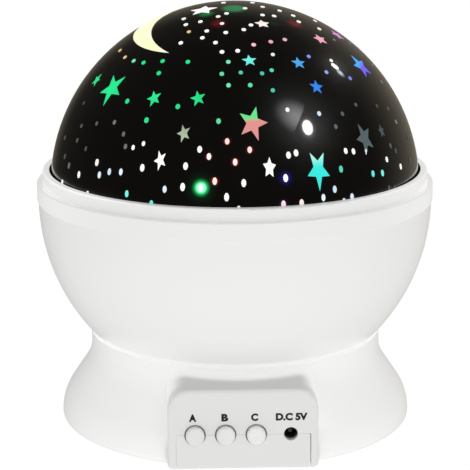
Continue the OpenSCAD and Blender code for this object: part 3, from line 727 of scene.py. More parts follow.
@dataclass(frozen=True)
class LitFilm(Finish):
    """A clear shape in the film with lamp light behind it, a little uneven.

    Attributes:
        colour: Colour of its bright parts.
        edge: Colour of its dim parts.
        strength: Brightness of the light.
    """

    colour: Colour
    edge: Colour
    strength: float = 1.0

    def paint(self, tree: ShaderTree) -> None:
        """Feeds the shader.

        Args:
            tree: The material's tree.
        """
        light = tree.blend(tree.spread(tree.noise(130.0, 1.0)), self.colour, self.edge)
        tree.set(Emission_Color=light, Emission_Strength=self.strength, **CLEAR)


@dataclass(frozen=True)
class TwoToneFilm(Finish):
    """A clear shape that two lamps light from both sides of a line across it.

    Attributes:
        above: Colour above the line.
        below: Colour below the line.
        rise: Height of the line over the middle of the shape, in millimetres.
        blur: Half the width of the passage, in millimetres.
        lean: How much the line rises for each step to the right.
        middle: Place of the shape's middle along X and Z, in metres.
    """

    above: Colour
    below: Colour
    rise: float
    blur: float
    lean: float = 0.0
    middle: Point = (0.0, 0.0)

    def paint(self, tree: ShaderTree) -> None:
        """Feeds the shader.

        Args:
            tree: The material's tree.
        """
        across, _, height = tree.parts(tree.place)
        sloped = tree.math("MULTIPLY_ADD", across, -self.lean, height)
        line = self.middle[1] - self.lean * self.middle[0] + self.rise * MM
        step = tree.remap(sloped, line - self.blur * MM, line + self.blur * MM)
        light = tree.blend(step, self.below, self.above)
        tree.set(Emission_Color=light, Emission_Strength=1.0, **CLEAR)


class Tint(Enum):
    """Colours that the lamps give to the clear shapes of the dome."""

    WHITE = LitFilm(tone(255, 255, 252), tone(246, 246, 240), 1.1)
    ROSE_WHITE = LitFilm(tone(255, 244, 240), tone(250, 214, 208), 1.05)
    COOL_WHITE = LitFilm(tone(236, 250, 255), tone(206, 226, 246))
    YELLOW = LitFilm(tone(232, 206, 140), tone(206, 180, 120))
    PALE_YELLOW = LitFilm(tone(255, 254, 230), tone(247, 252, 200))
    PINK = LitFilm(tone(250, 198, 206), tone(240, 170, 190))
    LILAC = LitFilm(tone(240, 180, 232), tone(212, 128, 216))
    GREEN = LitFilm(tone(26, 236, 146), tone(20, 218, 128))
    PALE_GREEN = LitFilm(tone(122, 236, 184), tone(92, 220, 160))
    TEAL = LitFilm(tone(92, 214, 190), tone(70, 190, 170))
    CYAN = LitFilm(tone(122, 246, 232), tone(58, 226, 216))
    SKY = LitFilm(tone(76, 176, 240), tone(60, 150, 224))
    BLUE = LitFilm(tone(46, 136, 238), tone(38, 112, 220))
    VIOLET = LitFilm(tone(84, 104, 240), tone(74, 76, 222))
    PERIWINKLE = LitFilm(tone(150, 162, 246), tone(112, 124, 226))
    SAGE = LitFilm(tone(176, 192, 166), tone(140, 158, 134))
    SLATE = LitFilm(tone(74, 90, 92), tone(52, 64, 66))
    SMOKE = LitFilm(tone(120, 122, 122), tone(88, 90, 90))
    ASH = LitFilm(tone(92, 88, 90), tone(64, 61, 62))


# ---------------------------------------------------------------- the dome's outside


@dataclass(frozen=True)
class DomeSkin:
    """The dome's outside, on which flat patterns are laid.

    Attributes:
        centre: Height of the dome's centre in metres.
        radius: Radius of the dome in metres.
        pull: How much more the film is drawn out at the dome's foot than at its top.
        turn: Turn of the film on the dome, in degrees.
    """

    centre: float
    radius: float
    pull: float = 0.85
    turn: float = -0.3

    def drawn(self, elevation: float) -> float:
        """Gives how much longer the film is drawn along the meridian at an elevation in degrees."""
        return 1 + self.pull * max(0.0, math.cos(math.radians(elevation))) ** 8

    def normal(self, azimuth: float, elevation: float) -> Vector:
        """Gives the outward direction at a place in degrees."""
        return heading(azimuth + self.turn, elevation)

    def point(self, place: Point, x: float = 0.0, y: float = 0.0, out: float = 0.0) -> Vector:
        """Lays a point of a flat pattern on the dome.

        Args:
            place: Azimuth and elevation of the pattern's middle, in degrees.
            x: Offset to the right in millimetres.
            y: Offset towards the top in millimetres.
            out: Height above the dome in millimetres.

        Returns:
            The point in metres.
        """
        middle = self.normal(*place)
        a = math.radians(place[0] + self.turn)
        east = Vector((math.cos(a), math.sin(a), 0))
        north = middle.cross(east)
        reach = self.radius / MM
        y *= self.drawn(place[1] + math.degrees(y / reach) / 2)
        length = math.hypot(x, y)
        if length > 0:
            turn = length / reach
            middle = middle * math.cos(turn) + (east * x + north * y) / length * math.sin(turn)
        return Vector((0, 0, self.centre)) + middle * (self.radius + out * MM)


@dataclass
class Patch:
    """Thin closed inlays on the dome, gathered into one mesh with a material for each tint.

    Attributes:
        skin: The dome's outside.
        proud: Height of an inlay above the film in millimetres.
        sunk: Depth of an inlay below the film in millimetres.
    """

    skin: DomeSkin
    proud: float = 0.07
    sunk: float = 0.2
    materials: list[bpy.types.Material] = field(default_factory=list)

    def __post_init__(self) -> None:
        """Starts with an empty mesh."""
        self.work = bmesh.new()

    def corner(self, place: Point, offset: Point, out: float) -> bmesh.types.BMVert:
        """Adds a corner at an offset from the inlay's place and a height, in millimetres."""
        return self.work.verts.new(self.skin.point(place, *offset, out))

    def inlay(self, place: Point, rings: Sequence[Sequence[Point]],
              material: bpy.types.Material) -> None:
        """Adds an inlay of closed rings of points, from the outline in to one middle point.

        Args:
            place: Azimuth and elevation of its middle, in degrees.
            rings: Rings of equal length, each a list of x and y in millimetres.
            material: Its material.
        """
        tops = [[self.corner(place, offset, self.proud) for offset in ring] for ring in rings]
        foot = [self.corner(place, offset, -self.sunk) for offset in rings[0]]
        top_mid, foot_mid = (self.corner(place, (0, 0), out) for out in (self.proud, -self.sunk))
        faces = []
        for i in range(len(foot)):
            j = (i + 1) % len(foot)
            faces.append((foot[i], foot[j], tops[0][j], tops[0][i]))
            faces.append((foot_mid, foot[j], foot[i]))
            for outer, inner in zip(tops, tops[1:]):
                faces.append((outer[i], outer[j], inner[j], inner[i]))
            faces.append((tops[-1][i], tops[-1][j], top_mid))
        self.close(faces, material)

    def band(self, place: Point, outer: Sequence[Point], inner: Sequence[Point],
             material: bpy.types.Material, rows: int = 8) -> None:
        """Adds an inlay between two lines of equal length that meet at both ends.

        Args:
            place: Azimuth and elevation of its middle, in degrees.
            outer: Points of one line in millimetres.
            inner: Points of the other line in millimetres.
            material: Its material.
            rows: Number of strips across it.
        """
        last = len(outer) - 1
        top, foot = (self.sheet(place, outer, inner, out, rows) for out in (self.proud, -self.sunk))
        faces = []
        for i in range(last):
            for near, far in zip(range(rows), range(1, rows + 1)):
                faces.append((top[near][i], top[near][i + 1], top[far][i + 1], top[far][i]))
                faces.append((foot[near][i + 1], foot[near][i], foot[far][i], foot[far][i + 1]))
            faces.append((foot[0][i], foot[0][i + 1], top[0][i + 1], top[0][i]))
            faces.append((foot[rows][i + 1], foot[rows][i], top[rows][i], top[rows][i + 1]))
        self.close(faces, material)

    def sheet(self, place: Point, outer: Sequence[Point], inner: Sequence[Point], out: float,
              rows: int) -> list[list[bmesh.types.BMVert]]:
        """Adds the corners of one side of a band, row by row. The rows share their ends.

        Args:
            place: Azimuth and elevation of the band's middle, in degrees.
            outer: Points of one edge in millimetres.
            inner: Points of the other edge in millimetres.
            out: Height above the dome in millimetres.
            rows: Number of strips.

        Returns:
            The corners of each row, from one end to the other.
        """
        lines: list[list[bmesh.types.BMVert]] = []
        for row in range(rows + 1):
            share = row / rows
            line = [(a + (c - a) * share, b + (d - b) * share)
                    for (a, b), (c, d) in zip(outer, inner)]
            between = [self.corner(place, offset, out) for offset in line[1:-1]]
            if lines:
                first, last = lines[0][0], lines[0][-1]
            else:
                first, last = (self.corner(place, line[i], out) for i in (0, -1))
            lines.append([first, *between, last])
        return lines

    def close(self, faces: Iterable[Sequence[bmesh.types.BMVert]],
              material: bpy.types.Material) -> None:
        """Makes the faces, leaving out the corners that they name twice.

        Args:
            faces: Corners of each face.
            material: Material of the faces.
        """
        if material not in self.materials:
            self.materials.append(material)
        for corners in faces:
            face = self.work.faces.new(list(dict.fromkeys(corners)))
            face.material_index = self.materials.index(material)
            face.smooth = False

    def finish(self, name: str) -> bpy.types.Object:
        """Turns the inlays into one object.

        Args:
            name: Name of the object.

        Returns:
            The object.
        """
        bmesh.ops.recalc_face_normals(self.work, faces=self.work.faces)
        mesh = bpy.data.meshes.new(name)
        self.work.to_mesh(mesh)
        self.work.free()
        for material in self.materials:
            mesh.materials.append(material)
        return add_object(name, mesh)


@dataclass(frozen=True)
class Star:
    """A five-armed star on the dome.

    Attributes:
        azimuth: Place round the dome in degrees.
        elevation: Height on the dome in degrees.
        arm: Length of an arm in millimetres.
        turn: Turn of the first arm to the right of straight up, in degrees.
        tint: Its colour.
        waist: Radius between the arms as a share of an arm.
        shares: Size of the outline and of the rings inside it.
    """

    azimuth: float
    elevation: float
    arm: float
    turn: float
    tint: Tint
    waist: float = 0.43
    shares: tuple[float, ...] = (1.0, 0.75, 0.45)

    @property
    def place(self) -> Point:
        """Azimuth and elevation of its middle, in degrees."""
        return (self.azimuth, self.elevation)

    def rings(self, arms: int = 5, steps: int = 3) -> list[list[Point]]:
        """Gives the star's outline and the rings inside it.

        Args:
            arms: Number of arms.
            steps: Pieces of an edge between two corners.

        Returns:
            The rings from the outline in, each with its points in millimetres.
        """
        outline = []
        for k in range(2 * arms):
            angle = math.radians(self.turn + 180 / arms * k)
            reach = self.arm * (self.waist if k % 2 else 1.0)
            outline.append((reach * math.sin(angle), reach * math.cos(angle)))
        dense = []
        for (x0, y0), (x1, y1) in zip(outline, outline[1:] + outline[:1]):
            for step in range(steps):
                dense.append((x0 + (x1 - x0) * step / steps, y0 + (y1 - y0) * step / steps))
        return [[(x * share, y * share) for x, y in dense] for share in self.shares]


@dataclass(frozen=True)
class Moon:
    """A crescent between two circles on the dome.

    Attributes:
        place: Azimuth and elevation that the circles are laid out from, in degrees.
        centre: Middle of the outer circle to the right and up, in millimetres.
        radius: Radius of the outer circle in millimetres.
        bite: Offset of the inner circle from the outer one, in millimetres.
        bite_radius: Radius of the inner circle in millimetres.
        steps: Points along an edge.
    """

    place: Point = (-46.0, 58.0)
    centre: Point = (1.15, 22.5)
    radius: float = 27.1
    bite: Point = (9.75, 0.75)
    bite_radius: float = 27.95
    steps: int = 72

    def edges(self) -> list[list[Point]]:
        """Gives the crescent's edges.

        Returns:
            The points of the outer and of the inner edge, from horn to horn, in millimetres.
        """
        gap = math.hypot(*self.bite)
        axis = math.atan2(self.bite[1], self.bite[0])
        along = (gap ** 2 + self.radius ** 2 - self.bite_radius ** 2) / (2 * gap)
        outer = (self.radius, math.acos(along / self.radius), (0, 0))
        inner = (self.bite_radius, math.acos((along - gap) / self.bite_radius), self.bite)
        lines = []
        for reach, half, shift in (outer, inner):
            x, y = (a + b for a, b in zip(self.centre, shift))
            sweep = 2 * math.pi - 2 * half
            angles = [axis + half + sweep * i / self.steps for i in range(self.steps + 1)]
            lines.append([(x + reach * math.cos(a), y + reach * math.sin(a)) for a in angles])
        return lines


@dataclass(frozen=True)
class Spots:
    """Round spots of one colour and size on the dome.

    Attributes:
        tint: Their colour.
        grade: Their size as a share of the usual size.
        places: Azimuth and elevation of each spot, in degrees.
    """

    tint: Tint
    grade: float
    places: tuple[Point, ...]


T = Tint
STARS = (
    Star(-55.5, 38, 5.1, -40, T.GREEN, 0.39), Star(-32.8, 37, 2.4, -27, T.GREEN),
    Star(-15.6, 38, 2.35, -18, T.GREEN), Star(-70.5, 39, 2.1, 6, T.GREEN),
    Star(-18.7, 27, 2.1, -22, T.SAGE), Star(-25.3, 18.7, 2.0, -26, T.WHITE),
    Star(-52, 77.5, 4.4, 33, T.WHITE, 0.5), Star(4.8, 51.5, 2.25, -3, T.CYAN),
    Star(28, 49.5, 2.3, 10, T.SKY), Star(31, 40.5, 2.3, 14, T.BLUE),
    Star(21, 68.5, 2.35, 8, T.ROSE_WHITE, 0.52), Star(54, 57.5, 2.4, 14, T.PINK, 0.5),
    Star(79, 56.5, 2.5, 20, T.LILAC), Star(8.3, 17.2, 2.0, 4, T.WHITE, 0.52),
    Star(53.5, 23.5, 1.5, 0, T.SLATE, 0.5),
)
TWO_TONE = (
    (Star(3.9, 30.4, 4.4, 17, T.GREEN, 0.42),
     TwoToneFilm(tone(104, 226, 138), tone(226, 146, 142), 0.9, 0.5, 0.05)),
    (Star(23.7, 15.7, 3.8, 39, T.CYAN, 0.42),
     TwoToneFilm(tone(186, 252, 230), tone(48, 234, 222), 2.6, 2.4)),
    (Star(43.8, 22.6, 3.5, 56, T.SLATE, 0.43),
     TwoToneFilm(tone(78, 94, 96), tone(238, 242, 246), -3.0, 0.4, -0.2)),
    (Star(65.5, 44.2, 4.3, -2, T.VIOLET, 0.44),
     TwoToneFilm(tone(70, 168, 250), tone(104, 92, 236), 0.5, 1.6, 1.0)),
)
BACK_STARS = (
    Star(103, 24, 2.4, 10, T.SLATE), Star(114, 46, 4.6, -14, T.VIOLET, 0.42),
    Star(118, 18, 3.6, 30, T.CYAN, 0.42), Star(126, 36, 2.4, 8, T.SKY),
    Star(140, 56, 3.0, 0, T.PINK), Star(150, 27, 4.8, 18, T.GREEN, 0.42),
    Star(163, 42, 2.4, -6, T.GREEN), Star(178, 19, 2.4, 0, T.WHITE),
    Star(186, 60, 2.6, 22, T.WHITE), Star(197, 34, 4.5, -20, T.CYAN, 0.42),
    Star(212, 48, 2.4, 12, T.BLUE), Star(222, 21, 3.3, 34, T.WHITE),
    Star(238, 36, 2.5, 0, T.SAGE), Star(240, 50, 2.8, -12, T.PALE_YELLOW),
    Star(256, 22, 2.5, 16, T.GREEN), Star(262, 32, 4.0, 6, T.PALE_GREEN, 0.42),
    Star(256, 9, 2.3, 0, T.SLATE),
)
SPOTS = (
    Spots(T.WHITE, 1.0, (
        (-75, 86.5), (89, 84.5), (17.5, 80.5), (57, 80), (65, 75), (30, 74), (41.5, 72.5),
        (66, 70.5), (-12, 76), (-19.5, 73.5), (-53, 70), (-32.5, 69.5), (-42.5, 67),
        (-21.5, 64.5), (-22, 61), (-13, 59), (-33.5, 58), (-8, 64), (11, 68), (4.5, 65.5),
        (-8.5, 55), (-0.5, 55.5), (57.5, 67), (-31, 16), (-13, 22.5), (-17, 17.5), (-17.5, 11.5),
        (-12, 11.5), (-4.5, 9), (0.5, 13), (14.5, 20.5), (17, 21), (13, 14),
    )),
    Spots(T.WHITE, 0.86, ((-57, 10.5), (34.5, 20), (37.5, 19.5), (-67.5, 6))),
    Spots(T.WHITE, 0.74, ((52, 15), (59.6, 11.5), (-35.5, 21.5), (-32, 23))),
    Spots(T.ROSE_WHITE, 0.95, (
        (-12.5, 69), (67, 61.5), (-49, 15.4), (-10, 20.5), (-4.5, 25), (-2, 19), (2.5, 22.5),
        (-8, 13.5), (12, 6.5), (17.5, 6.5), (83, 64.5),
    )),
    Spots(T.COOL_WHITE, 0.87, (
        (17, 53.5), (16.5, 34), (-47, 12), (-43, 13.5), (-38.5, 14), (-23, 10.5), (28.5, 9.5),
        (24.5, 7.5), (34.5, 6.5), (31.5, 5.5), (-1, 5.5), (-51.5, 5.5), (28, 32), (46.9, 48.7),
    )),
    Spots(T.YELLOW, 0.9, ((-73.5, 50.5), (-62.5, 49), (-34, 63.5))),
    Spots(T.PINK, 1.0, ((8.5, 58), (19, 59), (28.5, 59.5))),
    Spots(T.GREEN, 1.0, (
        (-37, 50), (-35.5, 45.5), (-24, 50.5), (-44, 35), (-22.5, 35), (-33, 30), (-47, 48.5),
    )),
    Spots(T.PALE_GREEN, 0.97, (
        (-54, 48.5), (-5, 51), (-7.5, 46.5), (-4.5, 42.5), (4, 42.5), (-7.5, 31),
    )),
    Spots(T.TEAL, 0.9, ((0.5, 47), (9.5, 46.5), (14, 47.5), (12.5, 40.5), (31.5, 15))),
    Spots(T.CYAN, 0.82, ((-35.5, 8), (-27, 6), (44, 12), (48.5, 11.5))),
    Spots(T.PERIWINKLE, 0.9, ((35.5, 51.5), (39.5, 45), (50.5, 41.5))),
    Spots(T.SMOKE, 0.8, (
        (-46, 28), (-40.5, 25), (-38.5, 21.5), (37.5, 31), (33, 27.5), (-64, 12),
    )),
    Spots(T.SMOKE, 0.72, ((81.4, 51.9), (66.1, 55.7), (80.3, 42.3), (73.8, 36.9), (65.9, 24.4))),
    Spots(T.ASH, 0.7, (
        (-69, 31), (-54.5, 26.5), (-63, 24.5), (-62.5, 20), (-56, 18.5), (-68.5, 14), (-73, 19),
        (45.5, 33), (57, 31), (64, 29), (56, 18.5), (58.5, 16.5), (72, 18.5), (68, 12), (51, 6.5),
        (54, 6),
    )),
)
GLOWS = (
    Glow(-12, 11.5, 3.1, tone(40, 255, 140), 1.3, 1.1, 2.2),
    Glow(-12, 11.5, 5.8, tone(0, 110, 50), 0.3),
    Glow(-12, 11.5, 2.0, tone(200, 255, 225), 1.2, 0.5, 1.6),
    Glow(13, 14, 2.8, tone(50, 40, 190), 0.4, 0.7),
    Glow(-8, 13.5, 1.8, tone(220, 20, 20), 0.28, 0.6),
    Glow(-10, 20.5, 1.6, tone(220, 30, 30), 0.2, 0.6),
    Glow(-4.5, 25, 1.6, tone(220, 30, 30), 0.2, 0.6),
    Glow(-2, 19, 1.7, tone(220, 40, 50), 0.3, 0.6),
    Glow(2.5, 22.5, 1.7, tone(220, 30, 40), 0.2, 0.6),
    Glow(12, 6.5, 2.0, tone(120, 40, 200), 0.2, 0.6),
    Glow(-37, 75, 3.4, tone(10, 120, 60), 0.8, 1.4),
    Glow(-3, 81, 5.0, tone(30, 150, 90), 0.75, 2.6),
    Glow(-16, 69.2, 3.4, tone(120, 8, 20), 0.6, 1.0),
    Glow(50, 66.5, 3.8, tone(130, 14, 30), 0.6, 1.0), Glow(31, 68, 3.0, tone(20, 80, 60), 0.25),
)


# ---------------------------------------------------------------- sub-assemblies


@dataclass
class Globe:
    """The turning globe: its dark dome with the clear shapes, and its white bowl and ring.

    Attributes:
        dome_radius: Radius of the dome in metres.
        spot_radius: Radius of a usual spot in metres.
        spot_depth: Thickness of a spot in metres.
        spot_sides: Sides of a spot's outline.
        front: Direction of someone who looks at the controls from slightly above.
        hidden: Scattered spots stay where a place's share of that direction is under this.
        back_span: First and last azimuth of the scattered spots, in degrees.
        back_elevation: Lowest and highest scattered spot, in degrees.
        back_gap: Smallest distance between scattered spots, in metres.
        back_grades: Least and greatest size of a scattered spot.
        back_tinted: Share of the scattered spots that take their nearest star's tint.
        star_gap: Smallest distance of a scattered spot from a star's arms, in metres.
        throws: How many places are tried for scattered spots.
        seed: Seed of everything random.
        body: Body that the shapes ride on.
        film: Colour of the dome's film.
        film_shade: Colour of the film in its lighter clouds.
    """

    dome_radius: float = 58.3 * MM
    spot_radius: float = 0.7 * MM
    spot_depth: float = 0.3 * MM
    spot_sides: int = 14
    front: Vector = field(default_factory=lambda: Vector((-0.04, -0.97, 0.24)))
    hidden: float = -0.06
    back_span: tuple[float, float] = (80, 280)
    back_elevation: tuple[float, float] = (6.0, 76.0)
    back_gap: float = 5.6 * MM
    back_grades: tuple[float, float] = (0.8, 1.02)
    back_tinted: float = 0.6
    star_gap: float = 1.8 * MM
    throws: int = 260
    seed: int = 11
    body: str = "globe"
    film: Colour = grey(0.0008)
    film_shade: Colour = (0.0017, 0.0016, 0.0012, 1)

    def __post_init__(self) -> None:
        """Places the dome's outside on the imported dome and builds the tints."""
        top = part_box("star_dome")[1].z
        self.skin = DomeSkin(top - self.dome_radius, self.dome_radius)
        self.tints = {tint: tint.value.material(f"lit_{tint.name.lower()}") for tint in Tint}

    def build(self) -> None:
        """Builds and dresses the globe."""
        film = DarkFilm(self.film, self.film_shade, self.skin, GLOWS)
        dress("star_dome", film.material("dome_film"))
        pieces = [
            self.moon(), self.stars("stars_front", STARS), self.two_tone(),
            self.stars("stars_back", BACK_STARS), self.spots("spots_front", SPOTS),
            self.spots("spots_back", self.scattered()),
        ]
        for piece in pieces:
            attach(piece, self.body)
            LOG.info("%s: %d faces", piece.name, len(piece.data.polygons))

    def moon(self) -> bpy.types.Object:
        """Lays the crescent moon.

        Returns:
            The moon's object.
        """
        moon, patch = Moon(), Patch(self.skin)
        patch.band(moon.place, *moon.edges(), self.tints[Tint.PALE_YELLOW])
        return patch.finish("moon")

    def stars(self, name: str, stars: Sequence[Star]) -> bpy.types.Object:
        """Lays a group of stars.

        Args:
            name: Name of the object.
            stars: The stars.

        Returns:
            The stars' object.
        """
        patch = Patch(self.skin)
        for star in stars:
            patch.inlay(star.place, star.rings(), self.tints[star.tint])
        return patch.finish(name)

    def two_tone(self) -> bpy.types.Object:
        """Lays the stars that two lamps light in two colours.

        Returns:
            The stars' object.
        """
        patch = Patch(self.skin)
        for number, (star, film) in enumerate(TWO_TONE):
            middle = self.skin.point(star.place)
            film = replace(film, middle=(middle.x, middle.z))
            patch.inlay(star.place, star.rings(), film.material(f"lit_two_tone_{number}"))
        return patch.finish("stars_two_tone")

    def scattered(self) -> list[Spots]:
        """Scatters spots over the back, clear of each other and of the stars.

        Returns:
            The spots, most of them in the tint of their nearest star.
        """
        dice = random.Random(self.seed)
        stars = [(self.skin.normal(*star.place), star) for star in BACK_STARS]
        taken = [(place, star.arm * MM + self.star_gap) for place, star in stars]
        low, high = (math.sin(math.radians(e)) for e in self.back_elevation)
        found = []
        for _ in range(self.throws):
            azimuth = dice.uniform(*self.back_span)
            elevation = math.degrees(math.asin(dice.uniform(low, high)))
            place = self.skin.normal(azimuth, elevation)
            clear = all((place - other).length * self.dome_radius > gap for other, gap in taken)
            if clear and place.dot(self.front) < self.hidden:
                taken.append((place, self.back_gap))
                nearest = min(stars, key=lambda star: (place - star[0]).length)[1]
                tint = nearest.tint if dice.random() < self.back_tinted else Tint.WHITE
                found.append(Spots(tint, dice.uniform(*self.back_grades), ((azimuth, elevation),)))
        return found

    def spot_points(self, groups: Sequence[Spots]) -> bpy.types.Object:
        """Lays the spots out as bare points.

        Args:
            groups: The spots.

        Returns:
            An object whose points carry their spot's size and the number of its tint.
        """
        each = [(group, place) for group in groups for place in group.places]
        tints = list(Tint)
        mesh = bpy.data.meshes.new("spot_points")
        mesh.from_pydata([self.skin.point(place) for _, place in each], [], [])
        for name, kind, values in (("grade", "FLOAT", [group.grade for group, _ in each]),
                                   ("tint", "INT", [tints.index(group.tint) for group, _ in each])):
            mesh.attributes.new(name, kind, "POINT").data.foreach_set("value", values)
        return add_object("spot_points", mesh)

    def spots(self, name: str, groups: Sequence[Spots]) -> bpy.types.Object:
        """Lays thin round spots, drawn out along the meridian as the film is.

        Args:
            name: Name of the object.
            groups: The spots.

        Returns:
            The spots as one plain mesh.
        """
        points = self.spot_points(groups)
        tree = GeometryTree("lay_spots")
        radius, depth = tree.number("Radius"), tree.number("Depth")
        centre, pull = tree.number("Centre"), tree.number("Pull")
        sides = tree.number("Sides", "NodeSocketInt")
        middle = tree.value("ShaderNodeCombineXYZ", None, None, centre)
        away = tree.vector("SUBTRACT", tree.value("GeometryNodeInputPosition"), middle)
        outward = tree.vector("NORMALIZE", away)
        align = "FunctionNodeAlignRotationToVector"
        aim = tree.value(align, None, None, outward, axis="Z")
        upright = tree.value(align, aim, None, (0, 0, 1), axis="Y", pivot_axis="Z")
        level = tree.math("SUBTRACT", 1.0, tree.math("POWER", tree.parts(outward)[2], 2.0))
        drawn = tree.math("MULTIPLY_ADD", pull, tree.math("POWER", level, 4.0), 1.0)
        grade = tree.attribute("grade")
        scale = tree.value("ShaderNodeCombineXYZ", grade, tree.math("MULTIPLY", grade, drawn), 1.0)
        disc = tree.add("GeometryNodeMeshCylinder", fill_type="NGON")
        tree.feed(disc, Vertices=sides, Radius=radius, Depth=depth)
        lay = tree.add("GeometryNodeInstanceOnPoints")
        tree.feed(lay, Points=tree.source.outputs["Geometry"], Instance=disc.outputs["Mesh"],
                  Rotation=upright, Scale=scale)
        shown = tree.value("GeometryNodeRealizeInstances", lay.outputs["Instances"])
        tint = tree.attribute("tint", "INT")
        for number, material in enumerate(self.tints.values()):
            same = tree.value("FunctionNodeCompare", tint, number,
                              data_type="INT", operation="EQUAL")
            shown = tree.value("GeometryNodeSetMaterial", shown, same, material)
        tree.feed(tree.target, shown)
        tree.attach(points, Radius=self.spot_radius, Depth=self.spot_depth, Sides=self.spot_sides,
                    Centre=self.skin.centre, Pull=self.skin.pull)
        return settled(points, name)


@dataclass(frozen=True)
class Label:
    """Words printed on the control face.

    Attributes:
        name: Name of the object.
        words: The words.
        x: Place of their middle across the face, in millimetres.
        width: Width in millimetres.
    """

    name: str
    words: str
    x: float
    width: float


@dataclass
class ControlFace:
    """The printing on the control face.

    Attributes:
        height: Height of the letters' middle above the table, in metres.
        cap: Height of a capital letter, in metres.
        ink: Thickness of the ink above and below the face, in metres.
        bold: How far the strokes are widened, as a share of the letters' size.
        curve_steps: Pieces of a stroke's curve between two points.
        labels: The labels.
    """

    height: float = 17.0 * MM
    cap: float = 2.35 * MM
    ink: float = 0.03 * MM
    bold: float = 0.055
    curve_steps: int = 6
    labels: tuple[Label, ...] = (
        Label("print_a", "A", -15.1, 2.2), Label("print_b", "B", -5.5, 2.0),
        Label("print_c", "C", 3.4, 2.1), Label("print_inlet", "D.C 5V", 14.5, 9.5),
    )

    def build(self) -> None:
        """Prints the labels on the face."""
        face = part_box("base_shell")[0].y
        ink = Moulding(grey(0.012), grey(0.02), (0.35, 0.5), 1500.0, 0.004 * MM).material("ink")
        for label in self.labels:
            thing = self.printed(label, face)
            thing.data.materials.clear()
            thing.data.materials.append(ink)
            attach(thing, "base")
            LOG.info("%s: %d faces", thing.name, len(thing.data.polygons))

    def printed(self, label: Label, face: float) -> bpy.types.Object:
        """Makes one label as a mesh on the face.

        Args:
            label: The label.
            face: Place of the face along Y, in metres.

        Returns:
            The label's object.
        """
        curve = bpy.data.curves.new(label.name, "FONT")
        curve.body = label.words
        curve.size = 1.0
        curve.offset = self.bold
        curve.extrude = 0.5
        curve.resolution_u = self.curve_steps
        thing = add_object(label.name + "_curve", curve)
        bpy.context.view_layer.update()
        solid = settled(thing, label.name)
        corners = [Vector(c) for c in solid.bound_box]
        low = Vector(map(min, *corners))
        high = Vector(map(max, *corners))
        wide, tall = label.width * MM / (high.x - low.x), self.cap / (high.y - low.y)
        shift = Matrix.Translation(-(low + high) / 2)
        size = Matrix.Diagonal((wide, tall, 2 * self.ink, 1))
        stand = Matrix.Rotation(math.pi / 2, 4, "X")
        place = Matrix.Translation((label.x * MM, face, self.height))
        solid.data.transform(place @ stand @ size @ shift)
        return solid


